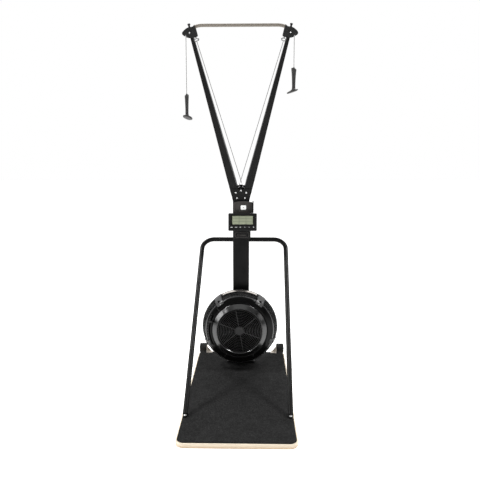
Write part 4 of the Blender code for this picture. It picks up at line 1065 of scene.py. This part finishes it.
# ---- console
def make_console():
    """The display's bezel and lines, the battery door with its vents, and the case's screws."""
    place = at(CONSOLE_PLACE, middle("console_body").x - TILT_PIN.x, CONSOLE_UP)
    lens_w, lens_h, lens_up = size_of("console_screen").x, 0.0544, 0.012
    margin_x, margin_y = 0.0075, 0.006
    corners = [(sx * (lens_w / 2 + margin_x), lens_up + sy * (lens_h / 2 + margin_y))
               for sx, sy in ((-1, -1), (1, -1), (1, 1), (-1, 1))]
    window = rounded(lens_w + 0.0012, lens_h + 0.0012, 0.002, 3, (0, lens_up))
    front = at(place, z=CONSOLE_FACE + 0.0006)
    bezel = plate(softened(corners, 0.006, 4), 0.0014, front, 0.0005, 2, [window])
    piece("console_bezel", bezel, GLOSS, "console")
    glass = CONSOLE_FACE - 0.00005
    lines = []
    for x in (-lens_w / 6, lens_w / 6):
        lines.append(box((0.002, lens_h * 0.86, 0.0002), at(place, x, lens_up, glass), 0.00005, 1))
    for y in (-lens_h * 0.16, lens_h * 0.2):
        lines.append(box((lens_w * 0.94, 0.0018, 0.0002), at(place, 0, lens_up + y, glass), 0.00005, 1))
    piece("console_segments", lines, LCD_LINE, "console")
    rear = CONSOLE_FACE - CONSOLE_DEEP
    door = [slab(0.09, 0.052, 0.006, 4, 0.0016, at(place, z=rear - 0.0006), 0.0006, (0, 0.018))]
    for k in range(5):
        vent = at(place, -0.058, -0.008 - 0.0042 * k, rear - 0.0004)
        door.append(box((0.026, 0.0016, 0.0012), vent, 0.0004, 1))
    piece("console_battery_door", door, PLASTIC, "console")
    side, end = size_of("console_body").x / 2 - 0.01, CONSOLE_TALL / 2 - 0.01
    screws = [socket_bolt(0.003, at(place, x, y, rear, 180, "X")) for x in (-side, side) for y in (-end, end)]
    piece("console_case_screws", screws, STEEL, "console")


def make_button_marks():
    """Plain printed bars and a round power mark, each riding on its button."""
    looks = ((0.015, 0.0026), (0.013, 0.0026), (0.009, 0.0028), (0.005, 0.0022), (0.005, 0.0022), (0, 0))
    for i, (wide, tall) in enumerate(looks):
        button = f"button_{i + 1}"
        place = facing(middle(button) + FACE_OUT * 0.0025 - FACE_UP * 0.0016, FACE_OUT, FACE_UP)
        if wide:
            notches = []
            if wide > 0.01:
                notches = [circle(tall * 0.22, 8, (wide * (k - 1.5) / 4.6, 0)) for k in range(4)]
            mark = slab(wide, tall, tall * 0.45, 4, 0.0003, at(place, z=0.0001), 0, holes=notches)
        else:
            ring = [(0.0024, 0.0003), (0.0034, 0.0003), (0.0034, -0.0002), (0.0024, -0.0002)]
            dot = [(0, 0.0003), (0.0014, 0.0003), (0.0014, -0.0002), (0, -0.0002)]
            mark = [lathe(ring, place, 32, closed=True), lathe(dot, place, 20)]
        piece(button + "_mark", mark, PRINT, button)


def make_phone_holder():
    """An arched back plate with a ledge, a lip on its right, two dark rests and a pale square pad."""
    wide, tall = size_of("phone_holder").x, 0.078
    centre_x = middle("phone_holder").x - TILT_PIN.x
    base = CONSOLE_UP + CONSOLE_TALL / 2 + 0.0003
    place = at(CONSOLE_PLACE, centre_x, base, CONSOLE_FACE - CONSOLE_DEEP + 0.006)
    sideways = Matrix(((0, 0, 1, 0), (0, 1, 0, 0), (1, 0, 0, 0), (0, 0, 0, 1)))
    half = wide / 2
    left, right = -half + 0.001, half - 0.0008
    arch = [(left + (right - left) * t / 14, tall - 0.0125 + 0.0115 * sin(pi * (0.12 + 0.76 * t / 14)))
            for t in range(15)]
    shoulder = tall - 0.016
    outline = [(right, 0.001), (right, shoulder), *reversed(arch[1:-1]), (left, shoulder), (left, 0.001)]
    shapes = [plate(softened(outline, 0.004, 3), 0.0054, place, 0.0012),
              box((0.05, 0.07, 0.0038), at(place, 0, -0.022, -0.0083), 0.001),
              box((0.048, 0.0045, 0.013), at(place, 0, 0.009, -0.0055), 0.001)]
    ledge = [(-0.0015, 0.006), (0.015, 0.006), (0.016, 0.0092), (0.014, 0.0092), (0.0128, 0.0082),
             (-0.0015, 0.0092)]
    shapes.append(plate(softened(ledge, 0.0012), wide - 0.02, at(place, 0, -0.0052) @ sideways, 0.0005))
    inner = rounded(0.104, 0.054, 0.01, 6, (0, 0.038))
    shapes.append(slab(0.108, 0.058, 0.012, 6, 0.0012, at(place, z=0.003), 0.0005, (0, 0.038), [inner]))
    piece("phone_tray", shapes, HOLDER, "console", ["phone_holder"], 34)
    lip = [(-0.002, 0.003), (0.0155, 0.004), (0.0155, tall - 0.004), (0.012, tall + 0.001),
           (-0.002, tall - 0.001)]
    lip = plate(softened(lip, 0.003), 0.007, at(place, half - 0.0042) @ sideways, 0.0018)
    piece("phone_tray_lip", lip, PLASTIC, "console")
    edge = box((0.0014, tall - 0.014, 0.0036), at(place, half - 0.0008, tall / 2 + 0.001, 0.0125), 0.0006)
    piece("phone_tray_edge", edge, STEEL, "console")
    low = at(place, z=0.0032)
    rests = [slab(0.02, 0.013, 0.004, 5, 0.0022, low, 0.0008, (x, 0.0175)) for x in (-0.04, 0.036)]
    piece("phone_tray_rests", rests, RUBBER, "console")
    low = at(place, 0.0005, 0.0365)
    ring = slab(0.04, 0.033, 0.0075, 5, 0.0018, at(low, z=0.0032), 0.0006)
    piece("phone_tray_pad_rim", ring, PLASTIC, "console")
    pad = slab(0.035, 0.028, 0.006, 5, 0.002, at(low, z=0.0044), 0.0007)
    piece("phone_tray_pad", pad, PAD, "console")
    stud = [(0, 0.0014), (0.0022, 0.0013), (0.0034, 0.0004), (0.0034, -0.0016), (0, -0.0016)]
    piece("phone_tray_stud", lathe(stud, at(low, z=0.005), 20), STUD, "console")


def make_bracket_details():
    """A shallow frame with round corners on the bracket's face, lighter grey than the bracket as a painted
    highlight on its edges, and its two screws.
    """
    face = facing((middle("console_bracket").x, COLUMN_LOW.y - 0.0123, 0.888), (0, -1, 0))
    raised = at(face, z=0.0007)
    inner = rounded(0.086, 0.028, 0.011, 7)
    highlight_rims = [slab(0.094, 0.036, 0.014, 7, 0.0016, raised, 0.0007, holes=[inner]),
            slab(0.06, 0.012, 0.0055, 6, 0.0016, raised, 0.0007, (0, -0.002))]
    # The frame's warm grey is a painted highlight on its edges; the bracket under it is black.
    piece("bracket_rim_painted_highlight", highlight_rims, HOLDER, "root")
    screws = [socket_bolt(0.004, at(face, x)) for x in (-0.0375, 0.0375)]
    piece("bracket_screws", screws, BLACK, "root")


def make_column_details():
    """The ring round the fan's rear bearing on the column's back, and a service plate above it."""
    back = COLUMN_HIGH.y
    flange = [(0.0135, 0.0), (0.02, 0.0), (0.02, -0.0036), (0.0135, -0.0036)]
    place = facing((FAN_X, back + 0.004, FAN_Z), (0, 1, 0))
    piece("bearing_flange", soft_ring(flange, place, 48, 0.0006), BLACK, "root")
    place = facing((0, back, 0.62), (0, 1, 0))
    hatch = slab(0.07, 0.15, 0.006, 4, 0.002, at(place, z=0.0011), 0.0006)
    piece("service_plate", hatch, BLACK, "root")
    screws = [socket_bolt(0.0034, at(place, x, y, 0.0021)) for x in (0.028, -0.028) for y in (-0.066, 0.066)]
    piece("service_plate_screws", screws, STEEL, "root")


# ---- stage
def make_floor():
    bpy.ops.mesh.primitive_plane_add(size=60)
    floor = bpy.context.object
    floor.name = "studio_floor"
    paint = Paint("studio_floor", grey(0.86), 0.75, Emission_Color=(1, 1, 1, 1), Emission_Strength=0.76)
    paint.colour_by(paint.noise(1.5, 3.0), (0.3, grey(0.855)), (0.7, grey(0.875)))
    floor.data.materials.append(paint.material)


def make_studio():
    """White all round where it is seen directly. What it lights and mirrors is dimmer on the user's side."""
    world = bpy.data.worlds.new("studio")
    bpy.context.scene.world = world
    world.use_nodes = True
    tree = world.node_tree
    direction = new_node(tree, "SeparateXYZ", Vector=new_node(tree, "TexCoord").outputs["Generated"])
    fall = ranged(tree, direction.outputs["Y"], 0.1, 0.78, 0.26, 1.0)
    seen = new_node(tree, "LightPath").outputs["Is Camera Ray"]
    fill(tree, tree.nodes["Background"], Color=(1, 1, 1, 1), Strength=combined(tree, "MAXIMUM", fall, seen))


def make_lamps():
    for name, place, aim, wide, tall, roll, power in (
        ("overhead", (0, -0.2, 5.0), (0, 0, 0.2), 3.0, 3.0, 0, 4),
        ("front_high", (0, -1.65, 3.6), (0, 0, 0.7), 2.6, 1.3, 0, 8),
        ("left_high", (-2.4, 0.1, 3.8), (0, -0.1, 0.3), 0.6, 0.6, 0, 130),
        ("right_high", (2.4, 0.1, 3.8), (0, -0.1, 0.3), 0.6, 0.6, 0, 130),
        ("left_box", (-2.72, -1.0, 1.8), (0, 0.25, 0.6), 0.5, 2.1, -21, 32),
        ("right_box", (2.72, -0.75, 1.3), (0, 0.25, 0.5), 0.3, 0.9, 21, 2),
    ):
        lamp = bpy.data.lights.new(name, "AREA")
        lamp.shape = "RECTANGLE"
        lamp.size = wide
        lamp.size_y = tall
        lamp.energy = power
        turn = (Vector(aim) - Vector(place)).to_track_quat("-Z", "Y").to_matrix().to_4x4()
        new_object(name, lamp).matrix_world = at(Matrix.Translation(place) @ turn, turn=roll)


def make_camera():
    data = bpy.data.cameras.new("camera")
    data.sensor_width = 36.0
    data.lens = 41.47
    data.clip_end = 100.0
    camera = new_object("camera", data)
    camera.location = (0.072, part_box("plywood_deck")[0].y - 2.477, 1.3815)
    camera.rotation_euler = (radians(90 - 8.43), 0, radians(1.264))
    bpy.context.scene.camera = camera
    bpy.context.scene.view_settings.view_transform = "Standard"


# ---- all of it
make_camera()
for side, sign in SIDES:
    make_cords(side, sign)
dress_nodes()
make_brace()
make_foot_bolts()
make_v_bolts()
make_throat_glints()
make_cross_bar()
for side, sign in SIDES:
    make_wheel(side, sign)
    make_head_details(side, sign)
make_grip("left", -118)
make_grip("right", 0)
make_fan_back()
make_fan_cover()
make_fan_clips()
make_fan_painted_highlight()
make_damper_details()
make_screen()
make_grille()
make_console()
make_button_marks()
make_phone_holder()
make_bracket_details()
make_column_details()
make_floor()
make_studio()
make_lamps()
